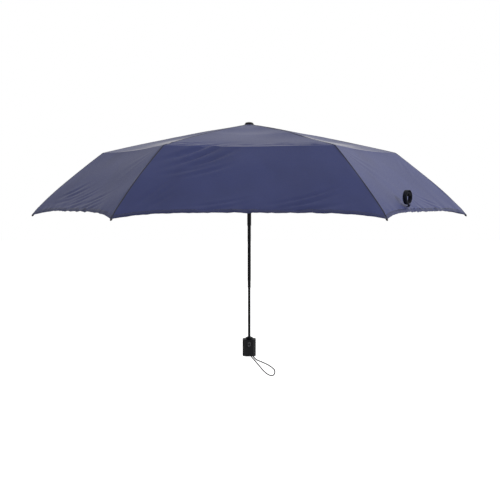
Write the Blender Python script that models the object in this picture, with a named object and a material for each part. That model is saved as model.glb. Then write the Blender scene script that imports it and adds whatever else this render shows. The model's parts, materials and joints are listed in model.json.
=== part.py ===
"""Compact folding umbrella: six three-section ribs, telescopic shaft and push-button handle.

The origin is the centre of the crown cap's flat top. +Z runs up along the shaft and -Y is the
side of the release button. Lengths below are millimetres. The umbrella is modelled open.
"""

import math

import bmesh
import bpy
from mathutils import Matrix, Vector

MM = 0.001

# Rib layout. Angles are degrees above the horizontal, in the rib's own radial plane.
RIB_COUNT = 6
SECTOR = 360.0 / RIB_COUNT
HINGE_RADIUS = 8.5
CROWN_HINGE_Z = -9.0
TOP_RIB_LENGTH = 162.0
TOP_RIB_ANGLE = -10.1
MIDDLE_RIB_LENGTH = 162.0
MIDDLE_RIB_ANGLE = -12.2
TIP_CHANNEL_LENGTH = 65.0
TIP_CHANNEL_ANGLE = -36.8
TIP_ROD_LENGTH = 147.2
TIP_ROD_START_ANGLE = -38.2
TIP_ROD_END_ANGLE = -45.5
STRETCHER_LENGTH = 98.0
LINK_CRANK = 6.0
LINK_TAIL_DROP = 0.5
WIRE_CRANK = 6.0
WIRE_TAIL = 7.0

# Cross-sections of the rib parts. A lane is a part's span across the rib's radial plane.
RIB_HALF_HEIGHT = 1.5
BAR_HALF_HEIGHT = 1.6
RIB_LANE = (-1.5, 1.5)
SIDE_LANE = (1.9, 4.3)
LINK_LANE = (4.7, 5.9)
WIRE_LANE = (-3.1, -1.9)
CHANNEL_WALL = 0.55
CHANNEL_ROOF = 0.8
CHANNEL_END_MARGIN = 9.0
ROD_RADIUS = 0.95
ROD_INSET = 3.0
TIP_BEAD_RADIUS = 1.7
PIN_RADIUS = 0.75
PIN_HOLE_RADIUS = 1.1
PIN_EMBED = 0.5
PIN_RECESS = 0.1
PIN_STEPS = 8
ROUND_PIN_STEPS = 12
TURNED_STEPS = 24
EYE_RADIUS = 0.95
HINGE_WIRE_RADIUS = 0.55

# Cutters reach past the faces they open, and loose parts are held apart by a running gap.
OVERSHOOT = 2.0
FIT_GAP = 0.3

# Shaft.
UPPER_TUBE = {"outer": 4.5, "inner": 4.05, "top": -6.6, "bottom": -231.0}
MIDDLE_TUBE = {"outer": 3.8, "inner": 3.35, "top": -216.0, "bottom": -371.0}
MIDDLE_NECK_TOP = -355.0
MIDDLE_NECK_OUTER = 3.45
MIDDLE_NECK_INNER = 3.1
NECK_STEP = 1.0
LOWER_TUBE = {"outer": 2.9, "inner": 2.4, "top": -356.0, "bottom": -511.0}
SPRING_RADIUS = 1.65
SPRING_WIRE = 0.3
SPRING_TURNS = 16
SPRING_TOP = -362.0
SPRING_BOTTOM = -508.0
TUBE_STEPS = 16

# Crown, cap and runner.
CAP_FLAT_RADIUS = 5.0
CAP_BOTTOM = -5.2
CAP_DOME = ((7.6, -0.8), (9.3, -2.3), (10.0, -3.9), (9.7, -5.2))
CAP_STUD_RADIUS = 3.7
CAP_STUD_BOTTOM = -14.0
WASHER_RADIUS = 11.5
WASHER_BORE = 4.1
WASHER_TOP = -5.35
WASHER_THICKNESS = 0.5
CROWN_RADIUS = 12.5
CROWN_CHAMFER = 0.6
CROWN_TOP = -6.9
CROWN_BOTTOM = -15.5
HUB_RADIUS = 6.2
HUB_STEP = 1.0
HUB_BOTTOM = -21.0
SLEEVE_BORE = 4.85
SLOT_HALF_WIDTH = 1.85
SIDE_SLOT_HALF_WIDTH = 1.55
GROOVE_HALF_WIDTH = 1.0
GROOVE_DEPTH = 1.1
RUNNER_HALF_HEIGHT = 5.2
RUNNER_SLEEVE_RADIUS = 7.2
RUNNER_SLEEVE_LENGTH = 17.0
RUNNER_STEP = 1.5

# Canopy and its closing strap.
CANOPY_GAP = 3.5
CANOPY_HALF_THICKNESS = 0.3
CANOPY_HOLE_RADIUS = 5.4
CANOPY_SHOULDER_RADIUS = 12.4
CANOPY_TOP = -6.3
CANOPY_TIP_MARGIN = 3.0
CANOPY_SCALLOP = 11.0
CANOPY_COLUMNS = 8
STRAP_SECTOR = 5.5
STRAP_OUTWARD = 410.2
STRAP_SIDEWAYS = -104.9
STRAP_Z = -167.3
STRAP_RADIUS = 15.0
STRAP_THICKNESS = 1.6
STRAP_WIDTH = 11.0
STRAP_STEPS = 20
FASTENER_RADIUS = 4.5
FASTENER_HALF_LENGTH = 2.0
FASTENER_STEPS = 12

# Handle.
HANDLE_WIDTH = 30.0
HANDLE_CHAMFER = 5.6
HANDLE_INNER_CHAMFER = HANDLE_CHAMFER - 1
HANDLE_TOP_BEVEL = 1.6
HANDLE_FOOT_BEVEL = 2.6
HANDLE_TOP = -487.0
HANDLE_SHELL_BOTTOM = -521.6
HANDLE_BOTTOM = -526.0
HANDLE_WALL = 2.6
COLLAR_TOP = -482.8
COLLAR_RADIUS = 8.0
COLLAR_DOME = ((5.2, 0.0), (7.2, -0.8), (8.0, -2.2))
COLLAR_FLANGE_RADIUS = 9.4
COLLAR_BORE = 3.2
SOCKET_RADIUS = 9.0
SOCKET_TOP = -491.8
SOCKET_BOTTOM = -511.5
PLUG_LIP = 1.2
PLUG_DEPTH = 2.4
BUTTON_Z = -498.0
BUTTON_HALF_WIDTH = 3.4
BUTTON_HALF_HEIGHT = 5.2
BEZEL_RIM = 1.3
BEZEL_PROUD = 0.5
BUTTON_RECESS = 0.5
BUTTON_THICKNESS = 2.0
BUTTON_STEM_RADIUS = 1.7
BUTTON_STEM_END = -8.0
BUTTON_STEM_EMBED = 0.5
LATCH_HALF_WIDTH = 4.6
LATCH_HALF_HEIGHT = 5.8
LATCH_THICKNESS = 1.2
LATCH_POCKET_BACK = -4.2
LATCH_POCKET_MARGIN = 0.6
BUTTON_SPRING_RADIUS = 2.6
BUTTON_SPRING_WIRE = 0.35
BUTTON_SPRING_TURNS = 3
CORD_X = 6.0
CORD_RADIUS = 1.2
CORD_HALF_SPACING = 2.75
CORD_HOLE_RADIUS = 4.3
CORD_HOLE_STEPS = 16
CORD_PIN_RADIUS = 1.2
CORD_PIN_HALF_LENGTH = 11.5
CORD_PIN_Z = -515.6


def clear_scene():
    """Remove every object of the start-up scene."""
    for obj in list(bpy.data.objects):
        bpy.data.objects.remove(obj, do_unlink=True)


def make_material(name, colour, roughness, metallic=0.0):
    """A Principled material with one colour."""
    material = bpy.data.materials.new(name)
    material.use_nodes = True
    shader = material.node_tree.nodes["Principled BSDF"]
    shader.inputs["Base Color"].default_value = (*colour, 1.0)
    shader.inputs["Roughness"].default_value = roughness
    shader.inputs["Metallic"].default_value = metallic
    return material


def mm(*values):
    """A vector in metres from coordinates in millimetres."""
    return Vector(values) * MM


def polar(angle, length):
    """A (radial, up) step of a length at an angle above the horizontal."""
    return Vector((math.cos(math.radians(angle)), math.sin(math.radians(angle)))) * length


# ---------------------------------------------------------------- mesh builders


def finish_object(name, bm, material, parent=None, location=(0, 0, 0), smooth_angle=35):
    """Write a bmesh in millimetres to a named object, shaded smooth below an angle."""
    bmesh.ops.scale(bm, vec=(MM, MM, MM), verts=bm.verts)
    bmesh.ops.recalc_face_normals(bm, faces=bm.faces)
    mesh = bpy.data.meshes.new(name)
    bm.to_mesh(mesh)
    bm.free()
    mesh.shade_smooth()
    mesh.set_sharp_from_angle(angle=math.radians(smooth_angle))
    obj = bpy.data.objects.new(name, mesh)
    bpy.context.scene.collection.objects.link(obj)
    obj.location = mm(*location)
    obj.parent = parent
    if material:
        mesh.materials.append(material)
    return obj


def add_prism(bm, outline, low, high, axis="Y"):
    """Add a prism: an outline in the XZ or XY plane, extruded along Y or Z between two levels."""
    place = {
        "Y": lambda a, b, c: (a, c, b),
        "Z": lambda a, b, c: (a, b, c),
    }[axis]
    first = [bm.verts.new(place(a, b, low)) for a, b in outline]
    last = [bm.verts.new(place(a, b, high)) for a, b in outline]
    bm.faces.new(first)
    bm.faces.new(list(reversed(last)))
    count = len(outline)
    for i in range(count):
        j = (i + 1) % count
        bm.faces.new((first[i], last[i], last[j], first[j]))


def prism(outline, low, high, axis="Y"):
    """A new bmesh holding one prism."""
    bm = bmesh.new()
    add_prism(bm, outline, low, high, axis)
    return bm


def circle(centre, radius, steps, turn=0.0):
    """Points of a circle in a 2-D plane."""
    angles = [2 * math.pi * i / steps + turn for i in range(steps)]
    return [(centre[0] + radius * math.cos(a), centre[1] + radius * math.sin(a)) for a in angles]


def turned(profile, steps=TURNED_STEPS):
    """Spin a closed (radius, z) outline that stays off the axis into a ring-shaped body."""
    bm = bmesh.new()
    rings = []
    for i in range(steps):
        a = 2 * math.pi * i / steps
        rings.append([bm.verts.new((r * math.cos(a), r * math.sin(a), z)) for r, z in profile])
    for i in range(steps):
        here, there = rings[i], rings[(i + 1) % steps]
        for j in range(len(profile)):
            k = (j + 1) % len(profile)
            bm.faces.new((here[j], there[j], there[k], here[k]))
    return bm


def turned_solid(profile, steps=TURNED_STEPS):
    """Spin an open (radius, z) outline, listed from top to bottom, into a solid without a bore."""
    bm = bmesh.new()
    rings = []
    for r, z in profile:
        rings.append([bm.verts.new((x, y, z)) for x, y in circle((0, 0), r, steps)])
    for upper, lower in zip(rings, rings[1:]):
        for i in range(steps):
            j = (i + 1) % steps
            bm.faces.new((upper[i], lower[i], lower[j], upper[j]))
    bm.faces.new(rings[0])
    bm.faces.new(rings[-1])
    return bm


def ring_profile(outer, inner, top, bottom):
    """The rectangular outline of a tube wall."""
    return [(outer, top), (outer, bottom), (inner, bottom), (inner, top)]


def swept(path, radius, steps, closed=False, up=Vector((0, 1, 0))):
    """Sweep a circle along a path of points; a closed path makes a ring."""
    bm = bmesh.new()
    count = len(path)
    rings = []
    for i, point in enumerate(path):
        before = path[i - 1] if closed or i > 0 else point
        after = path[(i + 1) % count] if closed or i < count - 1 else point
        tangent = (after - before).normalized()
        side = tangent.cross(up).normalized()
        lift = side.cross(tangent)
        ring = []
        for k in range(steps):
            a = 2 * math.pi * k / steps
            ring.append(bm.verts.new(point + radius * (math.cos(a) * side + math.sin(a) * lift)))
        rings.append(ring)
    for i in range(count if closed else count - 1):
        here, there = rings[i], rings[(i + 1) % count]
        for k in range(steps):
            m = (k + 1) % steps
            bm.faces.new((here[k], here[m], there[m], there[k]))
    if not closed:
        bm.faces.new(rings[0])
        bm.faces.new(rings[-1])
    return bm


def coil_path(radius, turns, start, end, steps_per_turn=8):
    """Points of a helix about the Z axis."""
    count = turns * steps_per_turn
    points = []
    for i in range(count + 1):
        a = 2 * math.pi * i / steps_per_turn
        z = start + (end - start) * i / count
        points.append(Vector((radius * math.cos(a), radius * math.sin(a), z)))
    return points


def cut(obj, bm, operation="DIFFERENCE"):
    """Cut a bmesh from an object, or add it, with a Boolean that reads a hidden tool object."""
    tool = finish_object(obj.name + "_tool", bm, None)
    tool.parent = obj.parent
    tool.location = obj.location
    tool.hide_render = True
    tool.display_type = "WIRE"
    modifier = obj.modifiers.new(operation.title(), "BOOLEAN")
    modifier.operation = operation
    modifier.object = tool
    return modifier


# ---------------------------------------------------------------- rib geometry


def rib_points():
    """The open rib's joints in its radial plane, as named (radial, up) points."""
    crown = Vector((HINGE_RADIUS, CROWN_HINGE_Z))
    elbow = crown + polar(TOP_RIB_ANGLE, TOP_RIB_LENGTH)
    knee = elbow + polar(MIDDLE_RIB_ANGLE, MIDDLE_RIB_LENGTH)
    brace = crown + polar(TOP_RIB_ANGLE, STRETCHER_LENGTH)
    runner = brace + polar(180.0 - TOP_RIB_ANGLE, STRETCHER_LENGTH)
    channel_end = knee + polar(TIP_CHANNEL_ANGLE, TIP_CHANNEL_LENGTH)
    return {
        "crown": crown,
        "elbow": elbow,
        "knee": knee,
        "brace": brace,
        "runner": runner,
        "channel_end": channel_end,
        "link_inner": brace + polar(180.0 - TOP_RIB_ANGLE, LINK_CRANK),
        "link_outer": elbow - Vector((LINK_CRANK, LINK_TAIL_DROP)),
        "wire_inner": elbow - polar(TOP_RIB_ANGLE, WIRE_CRANK),
        "wire_outer": knee - Vector((WIRE_TAIL, 0)),
    }


def rod_points(start, steps=4):
    """The bowed rod of the tip rib, from the channel's end to the rib's tip."""
    points = [start]
    for i in range(steps):
        share = (i + 0.5) / steps
        angle = TIP_ROD_START_ANGLE + share * (TIP_ROD_END_ANGLE - TIP_ROD_START_ANGLE)
        points.append(points[-1] + polar(angle, TIP_ROD_LENGTH / steps))
    return points


def strip_outline(points, half, cap_steps=3):
    """The outline of a strip with round ends along a bent line of (radial, up) points."""
    sides = ([], [])
    count = len(points)
    for i, point in enumerate(points):
        before = (point - points[i - 1]).normalized() if i else None
        after = (points[i + 1] - point).normalized() if i < count - 1 else None
        along = ((before or after) + (after or before)).normalized()
        normal = Vector((-along.y, along.x))
        reach = half / max(0.5, normal.dot(Vector((-(after or before).y, (after or before).x))))
        sides[0].append(point + normal * reach)
        sides[1].append(point - normal * reach)
    outline = list(sides[0])
    outline += round_end(points[-1], points[-1] - points[-2], half, cap_steps)
    outline += reversed(sides[1])
    outline += round_end(points[0], points[0] - points[1], half, cap_steps)
    return [(p.x, p.y) for p in outline]


def round_end(centre, outward, half, steps):
    """The inner points of a half circle that closes a strip's end, from its left to its right."""
    heading = math.atan2(outward.y, outward.x)
    points = []
    for i in range(1, steps):
        a = heading + math.pi / 2 - math.pi * i / steps
        points.append(centre + Vector((math.cos(a), math.sin(a))) * half)
    return points


def strip(points, half, lane):
    """A strip along (radial, up) points, filling a lane across the rib's plane."""
    return prism(strip_outline(points, half), lane[0], lane[1])


def holes(centres, lane, radius):
    """Round cutters through a lane."""
    bm = bmesh.new()
    for centre in centres:
        outline = circle(centre, radius, PIN_STEPS, math.pi / PIN_STEPS)
        add_prism(bm, outline, lane[0] - OVERSHOOT, lane[1] + OVERSHOOT)
    return bm


def pins(spans):
    """Round pins, each given by its centre and its two ends across the rib's plane."""
    bm = bmesh.new()
    for centre, low, high in spans:
        add_prism(bm, circle(centre, PIN_RADIUS, PIN_STEPS, math.pi / PIN_STEPS), low, high)
    return bm


def channel(start, end, lane, margin):
    """A cutter that hollows a rib from below into a channel between its solid ends."""
    along = (end - start).normalized()
    up = Vector((-along.y, along.x))
    first = start + along * margin
    last = end - along * margin
    roof = RIB_HALF_HEIGHT - CHANNEL_ROOF
    below = RIB_HALF_HEIGHT + OVERSHOOT
    corners = (first + up * roof, last + up * roof, last - up * below, first - up * below)
    outline = [(p.x, p.y) for p in corners]
    return prism(outline, lane[0] + CHANNEL_WALL, lane[1] - CHANNEL_WALL)


def local(points, origin):
    """Points counted from an origin."""
    return [point - origin for point in points]


def outward_pin(centre, own_lane, other_lane):
    """A pin from inside its own part across to just short of the far side of another part."""
    if other_lane[0] > own_lane[0]:
        return (centre, own_lane[1] - PIN_EMBED, other_lane[1] - PIN_RECESS)
    return (centre, other_lane[0] + PIN_RECESS, own_lane[0] + PIN_EMBED)


def build_top_rib(number, sector, steel):
    """The rib section between the crown and the elbow, carrying three rivets."""
    p = rib_points()
    joints = [p["crown"], p["elbow"], p["brace"], p["wire_inner"]]
    crown, elbow, brace, wire = local(joints, p["crown"])
    obj = finish_object(
        f"top_rib_{number}",
        strip([crown, elbow], RIB_HALF_HEIGHT, RIB_LANE),
        steel,
        sector,
        (p["crown"].x, 0, p["crown"].y),
    )
    cut(obj, channel(crown, brace, RIB_LANE, CHANNEL_END_MARGIN))
    cut(obj, channel(brace, wire, RIB_LANE, CHANNEL_END_MARGIN))
    cut(obj, holes([crown], RIB_LANE, EYE_RADIUS))
    rivets = [
        outward_pin(brace, RIB_LANE, SIDE_LANE),
        outward_pin(elbow, RIB_LANE, SIDE_LANE),
        outward_pin(wire, RIB_LANE, WIRE_LANE),
    ]
    cut(obj, pins(rivets), "UNION")


def build_stretcher(number, sector, steel):
    """The strut between the runner and the top rib, with the rivet that drives the link."""
    p = rib_points()
    brace, runner, link = local([p["brace"], p["runner"], p["link_inner"]], p["brace"])
    obj = finish_object(
        f"stretcher_{number}",
        strip([runner, brace], RIB_HALF_HEIGHT, SIDE_LANE),
        steel,
        sector,
        (p["brace"].x, 0, p["brace"].y),
    )
    cut(obj, holes([runner], SIDE_LANE, EYE_RADIUS))
    cut(obj, holes([brace], SIDE_LANE, PIN_HOLE_RADIUS))
    cut(obj, pins([outward_pin(link, SIDE_LANE, LINK_LANE)]), "UNION")


def build_middle_rib(number, sector, steel):
    """The rib section between elbow and knee, with a tail behind the elbow for the link."""
    p = rib_points()
    tail, elbow, knee = local([p["link_outer"], p["elbow"], p["knee"]], p["elbow"])
    obj = finish_object(
        f"middle_rib_{number}",
        strip([tail, elbow, knee], RIB_HALF_HEIGHT, SIDE_LANE),
        steel,
        sector,
        (p["elbow"].x, 0, p["elbow"].y),
    )
    cut(obj, channel(elbow, knee, SIDE_LANE, CHANNEL_END_MARGIN))
    cut(obj, holes([elbow, knee], SIDE_LANE, PIN_HOLE_RADIUS))
    cut(obj, holes([tail], SIDE_LANE, EYE_RADIUS))


def build_link(number, sector, steel):
    """The bar that turns the middle rib as the stretcher swings."""
    p = rib_points()
    inner, outer = local([p["link_inner"], p["link_outer"]], p["link_inner"])
    obj = finish_object(
        f"drive_link_{number}",
        strip([inner, outer], BAR_HALF_HEIGHT, LINK_LANE),
        steel,
        sector,
        (p["link_inner"].x, 0, p["link_inner"].y),
    )
    cut(obj, holes([inner], LINK_LANE, PIN_HOLE_RADIUS))
    cut(obj, holes([outer], LINK_LANE, EYE_RADIUS))


def build_wire(number, sector, steel):
    """The thin bar that turns the tip rib as the middle rib swings."""
    p = rib_points()
    inner, outer = local([p["wire_inner"], p["wire_outer"]], p["wire_inner"])
    obj = finish_object(
        f"fold_wire_{number}",
        strip([inner, outer], BAR_HALF_HEIGHT, WIRE_LANE),
        steel,
        sector,
        (p["wire_inner"].x, 0, p["wire_inner"].y),
    )
    cut(obj, holes([inner], WIRE_LANE, PIN_HOLE_RADIUS))
    cut(obj, holes([outer], WIRE_LANE, EYE_RADIUS))


def build_tip_rib(number, sector, steel):
    """The outer rib: a channel with a bent tail at the knee, and a bowed rod with a bead."""
    p = rib_points()
    tail, knee, end = local([p["wire_outer"], p["knee"], p["channel_end"]], p["knee"])
    obj = finish_object(
        f"tip_rib_{number}",
        strip([tail, knee, end], RIB_HALF_HEIGHT, RIB_LANE),
        steel,
        sector,
        (p["knee"].x, 0, p["knee"].y),
    )
    cut(obj, channel(knee, end, RIB_LANE, CHANNEL_END_MARGIN))
    cut(obj, holes([tail], RIB_LANE, EYE_RADIUS))
    line = rod_points(end)
    inset = end + (knee - end).normalized() * ROD_INSET
    path = [Vector((q.x, 0, q.y)) for q in [inset] + line]
    cut(obj, swept(path, ROD_RADIUS, PIN_STEPS), "UNION")
    bead = bmesh.new()
    bmesh.ops.create_uvsphere(bead, u_segments=8, v_segments=6, radius=TIP_BEAD_RADIUS)
    bmesh.ops.translate(bead, vec=path[-1], verts=bead.verts)
    cut(obj, bead, "UNION")
    cut(obj, pins([outward_pin(knee, RIB_LANE, SIDE_LANE)]), "UNION")


def build_ribs(steel, dark):
    """All six rib assemblies, each under an empty turned to its sector."""
    for i in range(RIB_COUNT):
        sector = bpy.data.objects.new(f"sector_{i + 1}", None)
        bpy.context.scene.collection.objects.link(sector)
        sector.rotation_euler.z = math.radians(SECTOR * i)
        for build in (build_top_rib, build_stretcher, build_middle_rib, build_link, build_wire):
            build(i + 1, sector, steel)
        build_tip_rib(i + 1, sector, dark)


# ---------------------------------------------------------------- crown and runner


def hexagon(apothem):
    """Corners of a hexagon whose sides face the ribs."""
    corner = apothem / math.cos(math.pi / RIB_COUNT)
    return circle((0, 0), corner, RIB_COUNT, math.pi / RIB_COUNT)


def hinge_wire(name, z, steel):
    """A closed wire with one straight side across each rib's plane."""
    path = [Vector((x, y, 0)) for x, y in hexagon(HINGE_RADIUS)]
    bm = swept(path, HINGE_WIRE_RADIUS, PIN_STEPS, closed=True, up=Vector((0, 0, 1)))
    finish_object(name, bm, steel, location=(0, 0, z))


def wire_groove(top, z):
    """A cutter for the six-sided groove that holds a hinge wire."""
    outer = hexagon(HINGE_RADIUS + GROOVE_HALF_WIDTH)
    inner = hexagon(HINGE_RADIUS - GROOVE_HALF_WIDTH)
    bm = bmesh.new()
    rows = []
    for outline, level in ((outer, top), (outer, z), (inner, z), (inner, top)):
        rows.append([bm.verts.new((x, y, level)) for x, y in outline])
    for i in range(4):
        here, there = rows[i], rows[(i + 1) % 4]
        for k in range(RIB_COUNT):
            m = (k + 1) % RIB_COUNT
            bm.faces.new((here[k], here[m], there[m], there[k]))
    return bm


def rib_slots(inner, centre, half_width, low, high):
    """Cutters for six slots that open outward, each beside its rib's plane."""
    bm = bmesh.new()
    reach = CROWN_RADIUS + OVERSHOOT
    for i in range(RIB_COUNT):
        turn = Matrix.Rotation(math.radians(SECTOR * i), 2)
        corners = [
            Vector((inner, centre - half_width)),
            Vector((reach, centre - half_width)),
            Vector((reach, centre + half_width)),
            Vector((inner, centre + half_width)),
        ]
        add_prism(bm, [tuple(turn @ corner) for corner in corners], low, high, "Z")
    return bm


def build_crown(black, steel):
    """The slotted hub on top of the shaft, its hinge wire, washer and cap."""
    profile = [
        (CROWN_RADIUS - CROWN_CHAMFER, CROWN_TOP),
        (CROWN_RADIUS, CROWN_TOP - CROWN_CHAMFER),
        (CROWN_RADIUS, CROWN_BOTTOM),
        (HUB_RADIUS, CROWN_BOTTOM - HUB_STEP),
        (HUB_RADIUS, HUB_BOTTOM),
        (SLEEVE_BORE, HUB_BOTTOM),
        (SLEEVE_BORE, CROWN_TOP),
    ]
    crown = finish_object("crown", turned(profile), black)
    low, high = CROWN_BOTTOM - HUB_STEP - OVERSHOOT, CROWN_TOP + OVERSHOOT
    cut(crown, rib_slots(HUB_RADIUS, 0, SLOT_HALF_WIDTH, low, high))
    cut(crown, wire_groove(high, CROWN_HINGE_Z - GROOVE_DEPTH))
    hinge_wire("crown_wire", CROWN_HINGE_Z, steel)
    washer = ring_profile(WASHER_RADIUS, WASHER_BORE, WASHER_TOP, WASHER_TOP - WASHER_THICKNESS)
    finish_object("crown_washer", turned(washer), black)
    stud = [(CAP_STUD_RADIUS, CAP_BOTTOM), (CAP_STUD_RADIUS, CAP_STUD_BOTTOM)]
    finish_object("crown_cap", turned_solid([(CAP_FLAT_RADIUS, 0), *CAP_DOME, *stud]), black)


def build_runner(black, steel):
    """The slider that carries the stretchers' inner ends."""
    z = rib_points()["runner"].y
    profile = [
        (CROWN_RADIUS, z + RUNNER_HALF_HEIGHT),
        (CROWN_RADIUS, z - RUNNER_HALF_HEIGHT),
        (RUNNER_SLEEVE_RADIUS, z - RUNNER_HALF_HEIGHT - RUNNER_STEP),
        (RUNNER_SLEEVE_RADIUS, z - RUNNER_HALF_HEIGHT - RUNNER_SLEEVE_LENGTH),
        (SLEEVE_BORE, z - RUNNER_HALF_HEIGHT - RUNNER_SLEEVE_LENGTH),
        (SLEEVE_BORE, z + RUNNER_HALF_HEIGHT),
    ]
    runner = finish_object("runner", turned(profile), black)
    middle = (SIDE_LANE[0] + SIDE_LANE[1]) / 2
    low = z - RUNNER_HALF_HEIGHT - RUNNER_STEP - OVERSHOOT
    high = z + RUNNER_HALF_HEIGHT + OVERSHOOT
    cut(runner, rib_slots(HUB_RADIUS, middle, SIDE_SLOT_HALF_WIDTH, low, high))
    cut(runner, wire_groove(high, z - GROOVE_DEPTH))
    hinge_wire("runner_wire", z, steel)


# ---------------------------------------------------------------- shaft


def build_tube(name, size, material):
    """A plain telescopic tube."""
    profile = ring_profile(size["outer"], size["inner"], size["top"], size["bottom"])
    finish_object(name, turned(profile, TUBE_STEPS), material)


def build_shaft(black, steel):
    """Three tubes that slide in one another, and the spring inside the lowest."""
    build_tube("shaft_upper_tube", UPPER_TUBE, black)
    build_tube("shaft_lower_tube", LOWER_TUBE, black)
    profile = [
        (MIDDLE_TUBE["outer"], MIDDLE_TUBE["top"]),
        (MIDDLE_TUBE["outer"], MIDDLE_NECK_TOP),
        (MIDDLE_NECK_OUTER, MIDDLE_NECK_TOP - NECK_STEP),
        (MIDDLE_NECK_OUTER, MIDDLE_TUBE["bottom"]),
        (MIDDLE_NECK_INNER, MIDDLE_TUBE["bottom"]),
        (MIDDLE_NECK_INNER, MIDDLE_NECK_TOP - NECK_STEP),
        (MIDDLE_TUBE["inner"], MIDDLE_NECK_TOP),
        (MIDDLE_TUBE["inner"], MIDDLE_TUBE["top"]),
    ]
    finish_object("shaft_middle_tube", turned(profile, TUBE_STEPS), black)
    path = coil_path(SPRING_RADIUS, SPRING_TURNS, SPRING_BOTTOM, SPRING_TOP)
    finish_object("shaft_spring", swept(path, SPRING_WIRE, 4, up=Vector((0, 0, 1))), steel)


# ---------------------------------------------------------------- handle


def chamfered_square(width, chamfer):
    """Corners of a square with cut corners."""
    half = width / 2
    flat = half - chamfer
    quarter = [Vector((half, -flat)), Vector((half, flat))]
    points = []
    for i in range(4):
        turn = Matrix.Rotation(math.pi / 2 * i, 2)
        points += [turn @ corner for corner in quarter]
    return [tuple(point) for point in points]


def bevel_edges(bm, width, segments, test):
    """Bevel the edges whose two end points pass a test."""
    edges = [edge for edge in bm.edges if all(test(vert.co) for vert in edge.verts)]
    bmesh.ops.bevel(bm, geom=edges, offset=width, segments=segments, profile=0.5, affect="EDGES")


def oval(half_width, half_height, steps=16):
    """Points of an oval in the XZ plane, centred on the release button."""
    points = []
    for i in range(steps):
        a = 2 * math.pi * i / steps
        points.append((half_width * math.cos(a), BUTTON_Z + half_height * math.sin(a)))
    return points


def build_handle_shell(black):
    """The hollow grip, open below, with a hole for the collar and one for the button."""
    outline = chamfered_square(HANDLE_WIDTH, HANDLE_CHAMFER)
    bm = prism(outline, HANDLE_SHELL_BOTTOM, HANDLE_TOP, "Z")
    bevel_edges(bm, HANDLE_TOP_BEVEL, 2, lambda co: co.z > HANDLE_TOP - 1)
    shell = finish_object("handle_shell", bm, black)
    cavity = chamfered_square(HANDLE_WIDTH - 2 * HANDLE_WALL, HANDLE_INNER_CHAMFER)
    cut(shell, prism(cavity, HANDLE_SHELL_BOTTOM - OVERSHOOT, HANDLE_TOP - HANDLE_WALL, "Z"))
    collar_hole = circle((0, 0), COLLAR_RADIUS + FIT_GAP, TURNED_STEPS)
    inside = HANDLE_TOP - HANDLE_WALL - OVERSHOOT
    cut(shell, prism(collar_hole, inside, HANDLE_TOP + OVERSHOOT, "Z"))
    margin = BEZEL_RIM + FIT_GAP
    opening = oval(BUTTON_HALF_WIDTH + margin, BUTTON_HALF_HEIGHT + margin)
    front = -HANDLE_WIDTH / 2
    cut(shell, prism(opening, front - OVERSHOOT, front + HANDLE_WALL + OVERSHOOT))


def build_collar(black):
    """The domed ring around the shaft on top of the grip, held by a flange inside."""
    flange_top = HANDLE_TOP - HANDLE_WALL - FIT_GAP
    flange_bottom = SOCKET_TOP + FIT_GAP
    profile = [
        (COLLAR_BORE, COLLAR_TOP),
        *((radius, COLLAR_TOP + drop) for radius, drop in COLLAR_DOME),
        (COLLAR_RADIUS, flange_top),
        (COLLAR_FLANGE_RADIUS, flange_top),
        (COLLAR_FLANGE_RADIUS, flange_bottom),
        (COLLAR_BORE, flange_bottom),
    ]
    finish_object("handle_collar", turned(profile), black)


def build_socket(grey):
    """The core that grips the lowest tube, with a pocket in front for the latch."""
    bore = LOWER_TUBE["outer"] + FIT_GAP
    socket = finish_object(
        "shaft_socket", turned(ring_profile(SOCKET_RADIUS, bore, SOCKET_TOP, SOCKET_BOTTOM)), grey
    )
    half = LATCH_HALF_WIDTH + LATCH_POCKET_MARGIN
    front, back = -SOCKET_RADIUS - FIT_GAP, LATCH_POCKET_BACK
    pocket = [(-half, front), (half, front), (half, back), (-half, back)]
    reach = LATCH_HALF_HEIGHT + LATCH_POCKET_MARGIN
    cut(socket, prism(pocket, BUTTON_Z - reach, BUTTON_Z + reach, "Z"))


def build_end_cap(black):
    """The plate that closes the grip below, with a plug and a hole for the cord."""
    outline = chamfered_square(HANDLE_WIDTH, HANDLE_CHAMFER)
    bm = prism(outline, HANDLE_BOTTOM, HANDLE_SHELL_BOTTOM - FIT_GAP, "Z")
    bevel_edges(bm, HANDLE_FOOT_BEVEL, 3, lambda co: co.z < HANDLE_BOTTOM + 1)
    cap = finish_object("handle_end_cap", bm, black)
    plug = chamfered_square(HANDLE_WIDTH - 2 * (HANDLE_WALL + FIT_GAP), HANDLE_INNER_CHAMFER)
    plug_top = HANDLE_SHELL_BOTTOM + PLUG_DEPTH
    cut(cap, prism(plug, HANDLE_SHELL_BOTTOM - FIT_GAP - PLUG_LIP, plug_top, "Z"), "UNION")
    hole = circle((CORD_X, 0), CORD_HOLE_RADIUS, CORD_HOLE_STEPS)
    cut(cap, prism(hole, HANDLE_BOTTOM - OVERSHOOT, plug_top + OVERSHOOT, "Z"))


def build_bezel(black):
    """The oval rim round the button."""
    front = -HANDLE_WIDTH / 2
    outer = oval(BUTTON_HALF_WIDTH + BEZEL_RIM, BUTTON_HALF_HEIGHT + BEZEL_RIM)
    rim = prism(outer, front - BEZEL_PROUD, front + HANDLE_WALL)
    bezel = finish_object("button_bezel", rim, black)
    inner = oval(BUTTON_HALF_WIDTH + FIT_GAP, BUTTON_HALF_HEIGHT + FIT_GAP)
    cut(bezel, prism(inner, front - OVERSHOOT, front + HANDLE_WALL + OVERSHOOT))


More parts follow.
